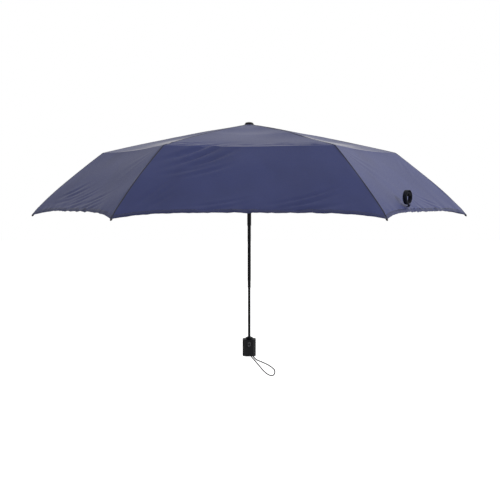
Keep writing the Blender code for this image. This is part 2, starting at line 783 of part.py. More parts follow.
def build_button(black, steel):
    """The push button on its stem, the latch behind it and its return spring."""
    face = -HANDLE_WIDTH / 2 + BUTTON_RECESS
    back = face + BUTTON_THICKNESS
    bm = prism(oval(BUTTON_HALF_WIDTH, BUTTON_HALF_HEIGHT), face, back)
    button = finish_object("release_button", bm, black)
    stem = circle((0, BUTTON_Z), BUTTON_STEM_RADIUS, ROUND_PIN_STEPS)
    cut(button, prism(stem, back - BUTTON_STEM_EMBED, BUTTON_STEM_END), "UNION")

    low, high = BUTTON_Z - LATCH_HALF_HEIGHT, BUTTON_Z + LATCH_HALF_HEIGHT
    half = LATCH_HALF_WIDTH
    latch = [(-half, low), (half, low), (half, high), (-half, high)]
    latch_front = BUTTON_STEM_END + FIT_GAP
    plate = prism(latch, latch_front, latch_front + LATCH_THICKNESS)
    finish_object("release_latch", plate, steel)

    spring_start = back + BUTTON_STEM_EMBED
    spring_end = BUTTON_STEM_END - 2 * FIT_GAP
    path = coil_path(BUTTON_SPRING_RADIUS, BUTTON_SPRING_TURNS, spring_start, spring_end)
    along_y = [Vector((q.x, q.z, BUTTON_Z + q.y)) for q in path]
    spring = swept(along_y, BUTTON_SPRING_WIRE, 4)
    finish_object("button_spring", spring, steel)


def cord_path():
    """The closed loop of the wrist cord, over its pin and down through the end cap."""
    over = CORD_PIN_RADIUS + CORD_RADIUS + FIT_GAP
    left, right = CORD_X - over, CORD_X + over
    knots = [
        (CORD_X, 0, CORD_PIN_Z + over),
        (right, 0, CORD_PIN_Z),
        (CORD_X + CORD_HALF_SPACING, 0, -521.0),
        (CORD_X + 3.2, 0, -527.5),
        (16.5, 1.0, -535.5),
        (30.0, 1.5, -541.5),
        (45.0, 1.0, -549.0),
        (56.0, 0.0, -557.5),
        (58.0, -1.0, -565.0),
        (53.5, -2.0, -570.5),
        (44.0, -2.5, -569.5),
        (33.0, -2.0, -561.0),
        (22.0, -1.5, -548.5),
        (12.0, -0.8, -536.5),
        (CORD_X - 1.6, 0, -527.5),
        (CORD_X - CORD_HALF_SPACING, 0, -521.0),
        (left, 0, CORD_PIN_Z),
    ]
    return smooth_loop([Vector(knot) for knot in knots], 3)


def smooth_loop(knots, steps):
    """A closed Catmull-Rom curve through knots."""
    points = []
    count = len(knots)
    for i in range(count):
        a, b, c, d = (knots[(i + k - 1) % count] for k in range(4))
        for s in range(steps):
            t = s / steps
            point = 2 * b + (c - a) * t
            point += (2 * a - 5 * b + 4 * c - d) * t * t
            point += (3 * b - a - 3 * c + d) * t * t * t
            points.append(point / 2)
    return points


def build_cord(black, steel):
    """The wrist cord and the pin that holds it."""
    bm = swept(cord_path(), CORD_RADIUS, 6, closed=True)
    finish_object("wrist_cord", bm, black)
    pin = circle((CORD_X, CORD_PIN_Z), CORD_PIN_RADIUS, ROUND_PIN_STEPS)
    finish_object("cord_pin", prism(pin, -CORD_PIN_HALF_LENGTH, CORD_PIN_HALF_LENGTH), steel)


# ---------------------------------------------------------------- canopy


def canopy_line():
    """The canopy's line over a rib, as (radial, up) points from the crown to the tip."""
    p = rib_points()
    rod = rod_points(p["channel_end"])
    line = [p["elbow"], p["knee"], p["channel_end"]] + rod[1:]
    raised = [Vector((r, CANOPY_TOP)) for r in (CANOPY_HOLE_RADIUS, CANOPY_SHOULDER_RADIUS)]
    for i, point in enumerate(line):
        before = line[i - 1] if i else p["crown"]
        after = line[i + 1] if i < len(line) - 1 else point + (point - before)
        along = ((point - before).normalized() + (after - point).normalized()).normalized()
        raised.append(point + Vector((-along.y, along.x)) * CANOPY_GAP)
    inward = (raised[-2] - raised[-1]).normalized()
    raised[-1] = raised[-1] + inward * CANOPY_TIP_MARGIN
    return raised


def canopy_point(line, row, column, side):
    """A point of the canopy's skin; column counts round the canopy, side is 1 above, -1 below."""
    sector, step = divmod(column, CANOPY_COLUMNS)
    share = step / CANOPY_COLUMNS
    left = math.radians(SECTOR * sector)
    right = math.radians(SECTOR * (sector + 1))
    radial = line[row].x
    up = line[row].y
    x = radial * ((1 - share) * math.cos(left) + share * math.cos(right))
    y = radial * ((1 - share) * math.sin(left) + share * math.sin(right))
    if row < 2:
        angle = left + share * (right - left)
        x, y = radial * math.cos(angle), radial * math.sin(angle)
    if row == len(line) - 1:
        above = line[row - 1]
        slope = (up - above.y) / (radial - above.x)
        lift = CANOPY_SCALLOP * (1 - (2 * share - 1) ** 4)
        x -= lift * x / radial
        y -= lift * y / radial
        up -= lift * slope
    return (x, y, up + side * CANOPY_HALF_THICKNESS)


def build_canopy(cloth):
    """The six-gore canopy as one thin closed skin with a hole for the cap's stud."""
    line = canopy_line()
    columns = RIB_COUNT * CANOPY_COLUMNS
    bm = bmesh.new()
    skins = []
    for side in (1, -1):
        rows = []
        for row in range(len(line)):
            ring = [bm.verts.new(canopy_point(line, row, c, side)) for c in range(columns)]
            rows.append(ring)
        skins.append(rows)
    for rows in skins:
        for upper, lower in zip(rows, rows[1:]):
            for c in range(columns):
                d = (c + 1) % columns
                bm.faces.new((upper[c], lower[c], lower[d], upper[d]))
    for row in (0, -1):
        for c in range(columns):
            d = (c + 1) % columns
            bm.faces.new((skins[0][row][c], skins[0][row][d], skins[1][row][d], skins[1][row][c]))
    finish_object("canopy", bm, cloth)


def build_strap(cloth, black):
    """The closing strap, rolled up on the canopy's flank, and its fastener."""
    azimuth = math.radians(SECTOR * STRAP_SECTOR)
    outward = Vector((math.cos(azimuth), math.sin(azimuth), 0))
    sideways = Vector((-outward.y, outward.x, 0))
    centre = outward * STRAP_OUTWARD + sideways * STRAP_SIDEWAYS
    half = STRAP_WIDTH / 2
    ring = turned(ring_profile(STRAP_RADIUS, STRAP_RADIUS - STRAP_THICKNESS, half, -half), STRAP_STEPS)
    ends = [(FASTENER_RADIUS, FASTENER_HALF_LENGTH), (FASTENER_RADIUS, -FASTENER_HALF_LENGTH)]
    disc = turned_solid(ends, FASTENER_STEPS)
    for name, shape, material in (("closure_strap", ring, cloth), ("strap_fastener", disc, black)):
        obj = finish_object(name, shape, material, location=(centre.x, centre.y, STRAP_Z))
        obj.rotation_mode = "QUATERNION"
        obj.rotation_quaternion = outward.to_track_quat("Z", "Y")


def main():
    """Build every piece of the open umbrella."""
    clear_scene()
    black = make_material("black_plastic", (0.012, 0.012, 0.014), 0.42)
    grey = make_material("grey_plastic", (0.09, 0.09, 0.10), 0.5)
    shaft = make_material("black_steel", (0.01, 0.01, 0.011), 0.3, 0.85)
    steel = make_material("grey_steel", (0.32, 0.33, 0.35), 0.35, 0.9)
    cloth = make_material("navy_cloth", (0.045, 0.05, 0.13), 0.55)
    build_ribs(steel, shaft)
    build_crown(black, steel)
    build_runner(black, steel)
    build_shaft(shaft, steel)
    build_handle_shell(black)
    build_collar(black)
    build_socket(grey)
    build_end_cap(black)
    build_bezel(black)
    build_button(black, steel)
    build_cord(black, steel)
    build_canopy(cloth)
    build_strap(cloth, black)


main()
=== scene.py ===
"""Looks of the folding umbrella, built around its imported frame.

The canopy is one sewn sheet. Every point of it is worked out from the ribs' joints at a share of
the fold, from 0 (open) to 1 (folded and wrapped round the shaft), and shape keys that follow the
first rib's angle mix those shapes. Lengths are metres.
"""

import json
from functools import lru_cache
from math import atan2, cos, pi, radians, sin, tau
from typing import NamedTuple

import bpy
import numpy as np
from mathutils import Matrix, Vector

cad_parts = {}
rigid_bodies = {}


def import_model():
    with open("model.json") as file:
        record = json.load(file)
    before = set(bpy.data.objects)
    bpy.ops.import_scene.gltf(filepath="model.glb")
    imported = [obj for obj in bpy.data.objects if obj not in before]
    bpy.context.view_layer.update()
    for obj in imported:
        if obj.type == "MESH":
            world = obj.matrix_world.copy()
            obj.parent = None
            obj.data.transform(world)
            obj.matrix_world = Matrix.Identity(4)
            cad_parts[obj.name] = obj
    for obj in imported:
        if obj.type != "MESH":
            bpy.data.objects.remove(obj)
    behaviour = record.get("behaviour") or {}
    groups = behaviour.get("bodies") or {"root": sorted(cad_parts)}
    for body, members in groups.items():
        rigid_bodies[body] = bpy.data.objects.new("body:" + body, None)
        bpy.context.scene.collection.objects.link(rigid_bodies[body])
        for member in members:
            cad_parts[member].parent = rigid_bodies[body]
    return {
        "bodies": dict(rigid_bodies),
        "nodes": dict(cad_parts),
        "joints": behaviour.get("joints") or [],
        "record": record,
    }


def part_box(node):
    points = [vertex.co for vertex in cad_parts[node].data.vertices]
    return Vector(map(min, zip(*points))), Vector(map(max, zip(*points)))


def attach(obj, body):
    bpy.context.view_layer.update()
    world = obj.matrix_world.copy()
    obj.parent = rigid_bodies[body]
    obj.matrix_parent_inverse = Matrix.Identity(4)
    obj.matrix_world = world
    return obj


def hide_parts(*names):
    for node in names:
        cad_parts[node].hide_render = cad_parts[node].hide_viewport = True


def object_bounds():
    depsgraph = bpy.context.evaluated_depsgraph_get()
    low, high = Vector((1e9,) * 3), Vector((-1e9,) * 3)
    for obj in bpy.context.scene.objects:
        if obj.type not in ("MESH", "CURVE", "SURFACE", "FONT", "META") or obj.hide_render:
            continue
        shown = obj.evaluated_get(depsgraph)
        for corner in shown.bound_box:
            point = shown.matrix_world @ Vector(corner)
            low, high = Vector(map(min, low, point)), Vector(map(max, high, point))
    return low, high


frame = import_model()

MM = 0.001
CAD_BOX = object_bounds()
RECORD = frame["record"]
JOINTS = {joint["name"]: joint for joint in frame["joints"]}
RATIOS = {c["joint"]: c["ratio"] for c in RECORD["behaviour"]["couplings"]}
SLOTS = {part["node"]: part["material_slot"] for part in RECORD["subparts"]}


# ---------------- rib geometry from the frame

RIBS = 6
SECTOR = tau / RIBS
CHORD = 2 * sin(SECTOR / 2)
APOTHEM = cos(SECTOR / 2)
FOLD_RANGE = radians(JOINTS["canopy_fold"]["range_deg"][1])
MIDDLE_RATIO = RATIOS["middle_rib_1_fold"]
TIP_RATIO = RATIOS["tip_rib_1_fold"]
BEAD_RADIUS = 1.7 * MM


def joint_point(name):
    """A joint of rib 1 as a (radial, up) point; rib 1 lies in the XZ plane."""
    x, _, z = JOINTS[name]["pos_m"]
    return np.array([x, z])


CROWN_JOINT = joint_point("canopy_fold")
ELBOW = joint_point("middle_rib_1_fold")
KNEE = joint_point("tip_rib_1_fold")
TIP = np.array([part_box("tip_rib_1")[1].x - BEAD_RADIUS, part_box("tip_rib_1")[0].z + BEAD_RADIUS])
TOP_LENGTH = float(np.linalg.norm(ELBOW - CROWN_JOINT))
MIDDLE_LENGTH = float(np.linalg.norm(KNEE - ELBOW))
TIP_LENGTH = float(np.linalg.norm(TIP - KNEE))
KNEE_LENGTH = TOP_LENGTH + MIDDLE_LENGTH
TIP_BOW = 4.2 * MM
CLOTH_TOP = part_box("canopy")[1].z
CLOTH_HOLE = 5.4 * MM
CROWN_RADII = (CLOTH_HOLE, 8.5 * MM, 11.8 * MM)
SHOULDER_LENGTH = 9.0 * MM

# How far the cloth runs from a rib's centre line, and where it passes from one section to the next.
OPEN_GAP = 3.5 * MM
FOLDED_GAP = 2.4 * MM
END_GAP = 1.9 * MM
END_START = 0.9
ELBOW_BLEND = 10 * MM
ELBOW_TURN = 0.5 * MM
KNEE_BLEND = 5 * MM
TIP_MARGIN = 1.0 * MM

# The cloth is gathered clear of the folded elbow over the last part of the fold.
TUCK = 75 * MM
TUCK_START = 0.6


def turn(vector, angle):
    """A (radial, up) vector turned by an angle."""
    c, s = cos(angle), sin(angle)
    return np.array([c * vector[0] - s * vector[1], s * vector[0] + c * vector[1]])


def smooth(value, low, high):
    """0 below low, 1 above high and an S-curve between."""
    x = np.clip((value - low) / (high - low), 0.0, 1.0)
    return x * x * (3 - 2 * x)


def heading(vector):
    """The angle of a (radial, up) vector."""
    return atan2(vector[1], vector[0])


def rib_headings(fold):
    """Angles of the top, middle and tip sections of a rib at a share of the fold."""
    angle = FOLD_RANGE * fold
    top = heading(ELBOW - CROWN_JOINT) - angle
    middle = heading(KNEE - ELBOW) - angle * (1 + MIDDLE_RATIO)
    tip = heading(TIP - KNEE) - angle * (1 + MIDDLE_RATIO + TIP_RATIO)
    return top, middle, tip


def rib_centres(lengths, fold):
    """Points of a rib's own centre line, as (radial, up) rows, for lengths from the crown joint."""
    top, middle, tip = rib_headings(fold)
    elbow = CROWN_JOINT + turn((TOP_LENGTH, 0), top)
    knee = elbow + turn((MIDDLE_LENGTH, 0), middle)
    share = (lengths - KNEE_LENGTH) / TIP_LENGTH
    bow = TIP_BOW * 4 * share * (1 - share)
    level = np.zeros_like(lengths)
    on_top = CROWN_JOINT + turn((lengths, level), top).T
    on_middle = elbow + turn((lengths - TOP_LENGTH, level), middle).T
    on_tip = knee + turn((lengths - KNEE_LENGTH, bow), tip).T
    inner = np.where((lengths < TOP_LENGTH)[:, None], on_top, on_middle)
    return np.where((lengths < KNEE_LENGTH)[:, None], inner, on_tip)


def rib_centre(length, fold):
    """One point of a rib's centre line."""
    return rib_centres(np.array([length], float), fold)[0]


def tucked_lengths(lengths, tucked):
    """Where the cloth lies along a rib when it is gathered clear of the folded elbow."""
    above = lengths * (1 - tucked * TUCK / TOP_LENGTH)
    below = KNEE_LENGTH - (KNEE_LENGTH - lengths) * (1 - tucked * TUCK / MIDDLE_LENGTH)
    return np.where(lengths < TOP_LENGTH, above, np.where(lengths < KNEE_LENGTH, below, lengths))


def rib_line(lengths, fold):
    """Where the cloth runs over a rib, as (radial, up) rows, for lengths from the crown joint."""
    top, middle, tip = rib_headings(fold)
    tucked = float(smooth(fold, TUCK_START, 1.0))
    share = np.clip((lengths - KNEE_LENGTH) / TIP_LENGTH, 0, 1)
    bend = tip + 4 * TIP_BOW / TIP_LENGTH * (1 - 2 * share) * (share > 0)
    elbow_blend = ELBOW_BLEND + (ELBOW_TURN - ELBOW_BLEND) * tucked
    past_elbow = smooth(lengths, TOP_LENGTH - elbow_blend, TOP_LENGTH + elbow_blend)
    past_knee = smooth(lengths, KNEE_LENGTH - KNEE_BLEND, KNEE_LENGTH + KNEE_BLEND)
    normals = top + (middle - top) * past_elbow + (bend - middle) * past_knee + pi / 2
    gap = OPEN_GAP + (FOLDED_GAP - OPEN_GAP) * fold * (1 - past_knee)
    gap = gap + (END_GAP - gap) * smooth(share, END_START, 1.0)
    points = rib_centres(tucked_lengths(lengths, tucked), fold)
    points[:, 0] += gap * np.cos(normals)
    points[:, 1] += gap * np.sin(normals)
    return points


# ---------------- canopy surface

COLUMNS = 72
END_LENGTH = KNEE_LENGTH + TIP_LENGTH - TIP_MARGIN
HEM_LIFT = 15 * MM
HEM_REACH = 120 * MM
HEM_SQUARENESS = 4.5
HEM_PUCKER = 0.05
PUCKER_WAVES = (8.3, 19.1)
CREASE_SAG = 3.0 * MM
CREASE_WIDTH = 45 * MM
PANEL_SAG = 3.5 * MM
UPPER_SAG = 4.5 * MM

# Slack cloth while it folds: a loop between the ribs first, then two flat layers round the bundle.
LOOP_DEPTH = 0.8
LOOP_DROP = 0.35
WRAP_START = 0.6
FOLD_LAYER = 0.5 * MM
FOLD_CLEARANCE = 1.5 * MM
FLAP_FADE = 16 * MM


def row_lengths():
    """Lengths along the rib of the sheet's rows, closer together at the bends and the hem."""
    stretches = (
        (SHOULDER_LENGTH, TOP_LENGTH - 9 * MM, 20),
        (TOP_LENGTH - 5 * MM, TOP_LENGTH + 5 * MM, 4),
        (TOP_LENGTH + 10 * MM, KNEE_LENGTH - 9 * MM, 24),
        (KNEE_LENGTH - 6 * MM, KNEE_LENGTH + 6 * MM, 9),
        (KNEE_LENGTH + 9 * MM, END_LENGTH, 52),
    )
    return np.concatenate([np.linspace(*stretch) for stretch in stretches])


def hem_profile(share):
    """How far the hem is lifted between two ribs: 0 at the ribs and about 1 over the middle."""
    lift = 1 - np.abs(2 * share - 1) ** HEM_SQUARENESS
    broad, fine = (tau * waves * share for waves in PUCKER_WAVES)
    return lift * (1 + HEM_PUCKER * np.sin(broad + 1.0) * np.sin(fine + 2.0))


def sheet_lengths(lengths, share):
    """Lengths along the rib for each row and column, shortened towards the scalloped hem."""
    near_hem = smooth(lengths, END_LENGTH - HEM_REACH, END_LENGTH) ** 1.5
    return lengths[:, None] - HEM_LIFT * near_hem[:, None] * hem_profile(share)[None, :]


def ripple(rng, x, y, wave, angle, spread):
    """Parallel waves across (x, y) that drift in direction and phase."""
    start = rng.uniform(0, tau, 3)
    drift = 0.9 * np.sin(x / spread + start[1]) + 0.7 * np.sin(1.3 * y / spread + start[2])
    return np.sin(tau * (x * cos(angle) + y * sin(angle)) / wave + start[0] + drift)


def fan(rng, x, y, count, reach, low, high):
    """Wrinkles that radiate from the point where x and y are 0, between two angles."""
    distance = np.hypot(x, y)
    angle = np.arctan2(y, x)
    soft = 0.12
    inside = smooth(angle, low - soft, low + soft) * (1 - smooth(angle, high - soft, high + soft))
    start = rng.uniform(0, tau, 3)
    wave = np.sin(count * angle + start[0] + 0.8 * np.sin(3 * angle + start[1]))
    grow = distance / reach * np.exp(1 - (distance / reach) ** 1.6)
    return inside * wave * grow * (0.75 + 0.25 * np.sin(distance / (23 * MM) + start[2]))


class Folds(NamedTuple):
    """A group of nearly parallel tension folds in a gore. Lengths are millimetres.

    across and down place the group's middle from the gore's middle and the knee line, and slope is
    the angle of its folds from the across axis.
    """

    across: float
    down: float
    slope: float
    length: float
    spacing: float
    count: int
    height: float


FRONT_FOLDS = (
    Folds(-104, 44, -0.56, 100, 21, 3, 3.0),
    Folds(-92, 82, -0.38, 75, 16, 2, 2.0),
    Folds(-165, 150, -0.75, 70, 13, 3, 1.2),
    Folds(88, 176, -0.27, 105, 15, 3, 2.0),
    Folds(-40, 178, -0.20, 90, 14, 2, 1.0),
    Folds(-98, -24, -0.26, 100, 11, 3, 1.6),
    Folds(20, -17, 0.10, 80, 9, 3, 1.4),
    Folds(104, -20, 0.24, 110, 10, 3, 1.5),
)
LEFT_FOLDS = (
    Folds(-87, 152, -0.33, 85, 15, 3, 1.4),
    Folds(0, 168, -0.30, 85, 15, 3, 1.6),
    Folds(80, 180, -0.28, 90, 14, 3, 1.6),
    Folds(90, -25, 0.25, 100, 11, 3, 1.3),
)
RIGHT_FOLDS = (
    Folds(-36, 186, 0.92, 40, 12, 4, 1.3),
    Folds(-80, 190, 0.74, 40, 12, 3, 1.1),
    Folds(60, 182, 0.35, 80, 13, 3, 0.9),
    Folds(-90, -25, -0.25, 100, 11, 3, 1.3),
)


def streaks(rng, across, down, folds):
    """How far a group of tension folds stands out, each a valley with soft sides."""
    length, spacing = folds.length * MM, folds.spacing * MM
    out = np.zeros_like(across)
    for i in range(folds.count):
        angle = folds.slope + rng.uniform(-0.1, 0.1) + 0.05 * (i - folds.count / 2)
        offset = (i - (folds.count - 1) / 2) * spacing + rng.uniform(-0.2, 0.2) * spacing
        shift = rng.uniform(-0.25, 0.25) * length
        x = across - folds.across * MM + offset * sin(folds.slope)
        y = down - folds.down * MM - offset * cos(folds.slope)
        along = x * cos(angle) + y * sin(angle) - shift
        beside = -x * sin(angle) + y * cos(angle) + 0.1 * along ** 2 / length
        width = spacing * rng.uniform(0.3, 0.5)
        depth = np.exp(-((along / (length / 2)) ** 2)) * rng.uniform(0.6, 1.0)
        out -= depth * (1 - 2.2 * (beside / width) ** 2) * np.exp(-((beside / width) ** 2))
    return out * folds.height * MM


def hem_ripples(rng, across, hem, wide):
    """Small waves along the hem, strongest at its edge and coming and going along it."""
    low = np.exp(-hem / (30 * MM))
    edge = np.exp(-hem / (9 * MM))
    inner = 1 - np.clip(wide, 0, 1) ** 6
    patchy = 0.55 + 0.45 * np.sin(across / (37 * MM) + rng.uniform(0, tau))
    out = 0.5 * MM * low * inner * patchy * ripple(rng, across, hem, 58 * MM, 0.5, 50 * MM)
    out += 0.55 * MM * edge * inner * ripple(rng, across, hem, 34 * MM, 0.2, 45 * MM)
    out += 0.3 * MM * edge * inner * patchy * ripple(rng, across, hem, 15 * MM, -0.1, 30 * MM)
    return out


def wrinkles(gore, across, down):
    """How far the open cloth of one gore stands out of its smooth shape.

    across is the distance from the gore's middle and down the distance past the knee line.
    """
    rng = np.random.default_rng(40 + gore)
    half = KNEE[0] / 2
    out = np.zeros_like(across)
    for side in (-1, 1):
        x = side * across + half
        strength = rng.uniform(0.5, 1.0)
        out += 0.7 * MM * strength * fan(rng, x, -down, 22, 75 * MM, 0.04, 0.42)
        out += 0.3 * MM * strength * fan(rng, x, down, 16, 60 * MM, 0.4, 1.2)
    # A gore at the back wears the folds of the gore opposite.
    for folds in (LEFT_FOLDS, FRONT_FOLDS, RIGHT_FOLDS)[gore % 3]:
        group = streaks(rng, across, down, folds)
        if folds.down < 0:
            group = group * smooth(-down, 2 * MM, 8 * MM)
        out += group
    hem = np.clip(END_LENGTH - KNEE_LENGTH - HEM_LIFT - down, 0, None)
    wide = np.abs(across) / (TIP[0] / 2)
    out += hem_ripples(rng, across, hem, wide)
    out += 0.5 * MM * ripple(rng, across, down, 140 * MM, 1.2, 90 * MM)
    return out * (1 - smooth(wide, 0.93, 1.0))


def sag(share, lengths):
    """How far the open cloth hangs in between two ribs."""
    between = 4 * share * (1 - share)
    upper = UPPER_SAG * np.sin(pi * np.clip(lengths / KNEE_LENGTH, 0, 1))
    crease = CREASE_SAG * np.exp(-(((lengths - KNEE_LENGTH) / CREASE_WIDTH) ** 2))
    past = np.clip((lengths - KNEE_LENGTH) / TIP_LENGTH, 0, 1)
    lower = PANEL_SAG * np.sin(pi * past) ** 0.8
    return between ** 1.3 * (upper + crease + lower)


def gore_axes(gore):
    """Horizontal directions of a gore: outward along its middle, and sideways."""
    middle = (gore + 0.5) * SECTOR
    outward = np.array([cos(middle), sin(middle), 0])
    return outward, np.array([-outward[1], outward[0], 0])


def in_gore(gore, away, across, up):
    """Points from their distances out from the shaft, across the gore and up."""
    outward, sideways = gore_axes(gore)
    points = away[..., None] * outward + across[..., None] * sideways
    points[..., 2] = up
    return points


def line_grid(lengths, fold):
    """Radial and up coordinates of the cloth over a rib, for a grid of lengths."""
    flat = rib_line(np.ravel(lengths), fold)
    return flat[:, 0].reshape(lengths.shape), flat[:, 1].reshape(lengths.shape)


def open_gore(gore, lengths, share):
    """Points of one open gore, as an array of rows, columns and coordinates."""
    radial, up = line_grid(lengths, 0.0)
    across = radial * (share - 0.5)[None, :] * CHORD
    away = radial * APOTHEM
    slope = np.arctan2(np.gradient(up, axis=0), np.gradient(away, axis=0)) + pi / 2
    lift = wrinkles(gore, across, lengths - KNEE_LENGTH) - sag(share[None, :], lengths)
    return in_gore(gore, away + lift * np.cos(slope), across, up + lift * np.sin(slope))


def hanging_gore(gore, radial, up, width, share):
    """Slack cloth between two ribs, hanging out in one loop."""
    straight = radial * CHORD
    depth = 0.5 * np.sqrt(np.maximum(width ** 2 - straight ** 2, 0))
    bulge = depth * (1 - np.abs(2 * share - 1) ** 1.6)[None, :]
    away = radial * APOTHEM + LOOP_DEPTH * bulge
    return in_gore(gore, away, straight * (share - 0.5)[None, :], up - LOOP_DROP * bulge)


def wrapped_gore(gore, radial, up, slack, share):
    """Slack cloth laid flat in two layers and wrapped round the bundle with the other gores."""
    loop_radius = radial + FOLD_CLEARANCE
    chord = loop_radius * SECTOR
    slack = np.maximum(slack, chord)
    along = slack * share[None, :]
    crest = (slack + chord) / 2
    left = along <= crest
    run = np.where(left, along, slack - along)
    reach = np.where(left, crest, slack - crest)
    close = smooth(run / np.maximum(reach, 1e-6), 0.0, 1.0)
    wrap = run / loop_radius
    angle = gore * SECTOR + np.where(left, wrap, wrap + SECTOR)
    radius = radial + FOLD_LAYER * (wrap / SECTOR + np.where(left, -0.5, 0.5) * close)
    return np.stack([radius * np.cos(angle), radius * np.sin(angle), up], -1)


def gore_points(gore, lengths, share, fold):
    """Points of one gore at a share of the fold."""
    if fold == 0:
        return open_gore(gore, lengths, share)
    radial, up = line_grid(lengths, fold)
    width = line_grid(lengths, 0.0)[0] * CHORD
    inner = smooth(lengths, KNEE_LENGTH - FLAP_FADE, KNEE_LENGTH - 2 * MM) if fold == 1 else 1
    amount = float(smooth(fold, WRAP_START, 1.0))
    hanging = hanging_gore(gore, radial, up, width, share)
    wrapped = wrapped_gore(gore, radial, up, width * inner, share)
    return hanging * (1 - amount) + wrapped * amount


def sheet(fold):
    """The sheet's rows from the crown's shoulder to the hem, each all the way round."""
    share = np.linspace(0, 1, COLUMNS + 1)
    grid = sheet_lengths(row_lengths(), share)
    gores = [gore_points(g, grid, share, fold)[:, :-1] for g in range(RIBS)]
    return np.concatenate(gores, axis=1)


def crown_rows():
    """The rows round the crown that stay put: the hole's edge and the shoulder over the hub."""
    around = np.linspace(0, tau, RIBS * COLUMNS, endpoint=False)
    rows = []
    for radius in CROWN_RADII:
        level = np.full_like(around, CLOTH_TOP)
        rows.append(np.stack([radius * np.cos(around), radius * np.sin(around), level], -1))
    return np.stack(rows)


@lru_cache(maxsize=None)
def whole_sheet(fold):
    """The sheet with its fixed rows round the crown."""
    return np.concatenate([crown_rows(), sheet(fold)])


def unit(vectors):
    """Vectors scaled to length 1."""
    return vectors / np.maximum(np.linalg.norm(vectors, axis=-1, keepdims=True), 1e-9)


def grid_normals(points):
    """Upward normals of a grid that is closed round its columns."""
    down = np.gradient(points, axis=0)
    round_ = np.roll(points, -1, axis=1) - np.roll(points, 1, axis=1)
    return unit(np.cross(down, round_))


# ---------------- meshes that follow the fold

FOLD_KEYS = (0.25, 0.5, 0.75, 1.0)


def add_object(name, data):
    """A new object in the scene."""
    obj = bpy.data.objects.new(name, data)
    bpy.context.scene.collection.objects.link(obj)
    return obj


def make_object(name, points, faces):
    """A smooth mesh object in the scene."""
    mesh = bpy.data.meshes.new(name)
    mesh.from_pydata(np.reshape(points, (-1, 3)).tolist(), [], faces)
    mesh.shade_smooth()
    return add_object(name, mesh)


def grid_faces(rows, columns, close_rows=False, close_columns=False):
    """Quads of a grid whose points count along its rows."""
    faces = []
    for r in range(rows if close_rows else rows - 1):
        s = (r + 1) % rows
        for c in range(columns if close_columns else columns - 1):
            d = (c + 1) % columns
            faces.append((r * columns + c, s * columns + c, s * columns + d, r * columns + d))
    return faces


def strip_faces(rows, columns, start=0):
    """The sides and the two ends of a strip whose points are counted from a start."""
    faces = grid_faces(rows, columns, close_columns=True)
    faces.append(tuple(range(columns)))
    faces.append(tuple((rows - 1) * columns + i for i in reversed(range(columns))))
    return [tuple(start + i for i in face) for face in faces]


def finish_piece(obj, body, slot, material, *nodes):
    """Give a piece its material and its body, and hide the CAD solids that it stands for; slot is
    not used.
    """
    obj.data.materials.append(material)
    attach(obj, body)
    if nodes:
        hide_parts(*nodes)


def follow_fold(obj, shape):
    """Give an object a shape key for each share of the fold, mixed by the first top rib's angle."""
    obj.shape_key_add(name="open")
    for share in FOLD_KEYS:
        key = obj.shape_key_add(name=f"fold_{round(share * 100)}")
        key.data.foreach_set("co", np.asarray(shape(share), np.float32).ravel())
        driver = key.driver_add("value").driver
        driver.type = "SCRIPTED"
        variable = driver.variables.new()
        variable.name = "angle"
        variable.type = "ROTATION_DIFF"
        variable.targets[0].id = frame["bodies"]["canopy_hub"]
        variable.targets[1].id = frame["bodies"]["top_rib_1"]
        step = FOLD_RANGE * FOLD_KEYS[0]
        peak = FOLD_RANGE * share
        driver.expression = f"max(0, 1 - abs(angle - {peak:.6f}) / {step:.6f})"


def point_vectors(mesh, name, values):
    """Store a vector at each of a mesh's vertices."""
    attribute = mesh.attributes.new(name, "FLOAT_VECTOR", "POINT")
    attribute.data.foreach_set("vector", np.asarray(values, np.float32).ravel())


def cloth_place(points, lengths):
    """Where each point of the sheet lies in its gore: across, down and from the nearest seam."""
    rows, columns = points.shape[:2]
    across = np.tile((np.arange(columns) % COLUMNS) / COLUMNS, (rows, 1))
    width = np.hypot(points[..., 0], points[..., 1]) * CHORD
    seam = np.minimum(across, 1 - across) * width
    return np.stack([(across - 0.5) * width, np.tile(lengths[:, None], (1, columns)), seam], -1)


def hem_distance(points):
    """Distance of each point of a grid from its last row, measured down its column."""
    steps = np.linalg.norm(np.diff(points, axis=0), axis=-1)
    below = np.cumsum(steps[::-1], axis=0)[::-1]
    return np.concatenate([below, np.zeros((1, steps.shape[1]))])


def build_canopy(outside, inside):
    """The sewn sheet, with a sharp edge along each seam."""
    points = whole_sheet(0)
    rows, columns = points.shape[:2]
    obj = make_object("canopy_cloth", points, grid_faces(rows, columns, close_columns=True))
    mesh = obj.data
    lengths = np.concatenate([np.zeros(3), row_lengths()])
    point_vectors(mesh, "place", cloth_place(points, lengths))
    hem = hem_distance(points)
    point_vectors(mesh, "hem", np.stack([hem, hem, hem], -1))
    ends = np.array([edge.vertices for edge in mesh.edges]) % columns
    seams = (ends[:, 0] == ends[:, 1]) & (ends[:, 0] % COLUMNS == 0)
    sharp = mesh.attributes.new("sharp_edge", "BOOLEAN", "EDGE")
    sharp.data.foreach_set("value", seams)
    follow_fold(obj, whole_sheet)
    thick = obj.modifiers.new("cloth_thickness", "SOLIDIFY")
    thick.thickness = 0.25 * MM
    thick.offset = 0
    thick.material_offset = 1
    finish_piece(obj, "canopy_hub", "canopy_fabric", outside, "canopy")
    mesh.materials.append(inside)


FOLDED_TRIM = 0.4
SEAM_HALF = 1.1 * MM
SEAM_HEIGHT = 0.5 * MM
TAPE_HALF = 4.0 * MM
TAPE_DEPTH = 0.35 * MM


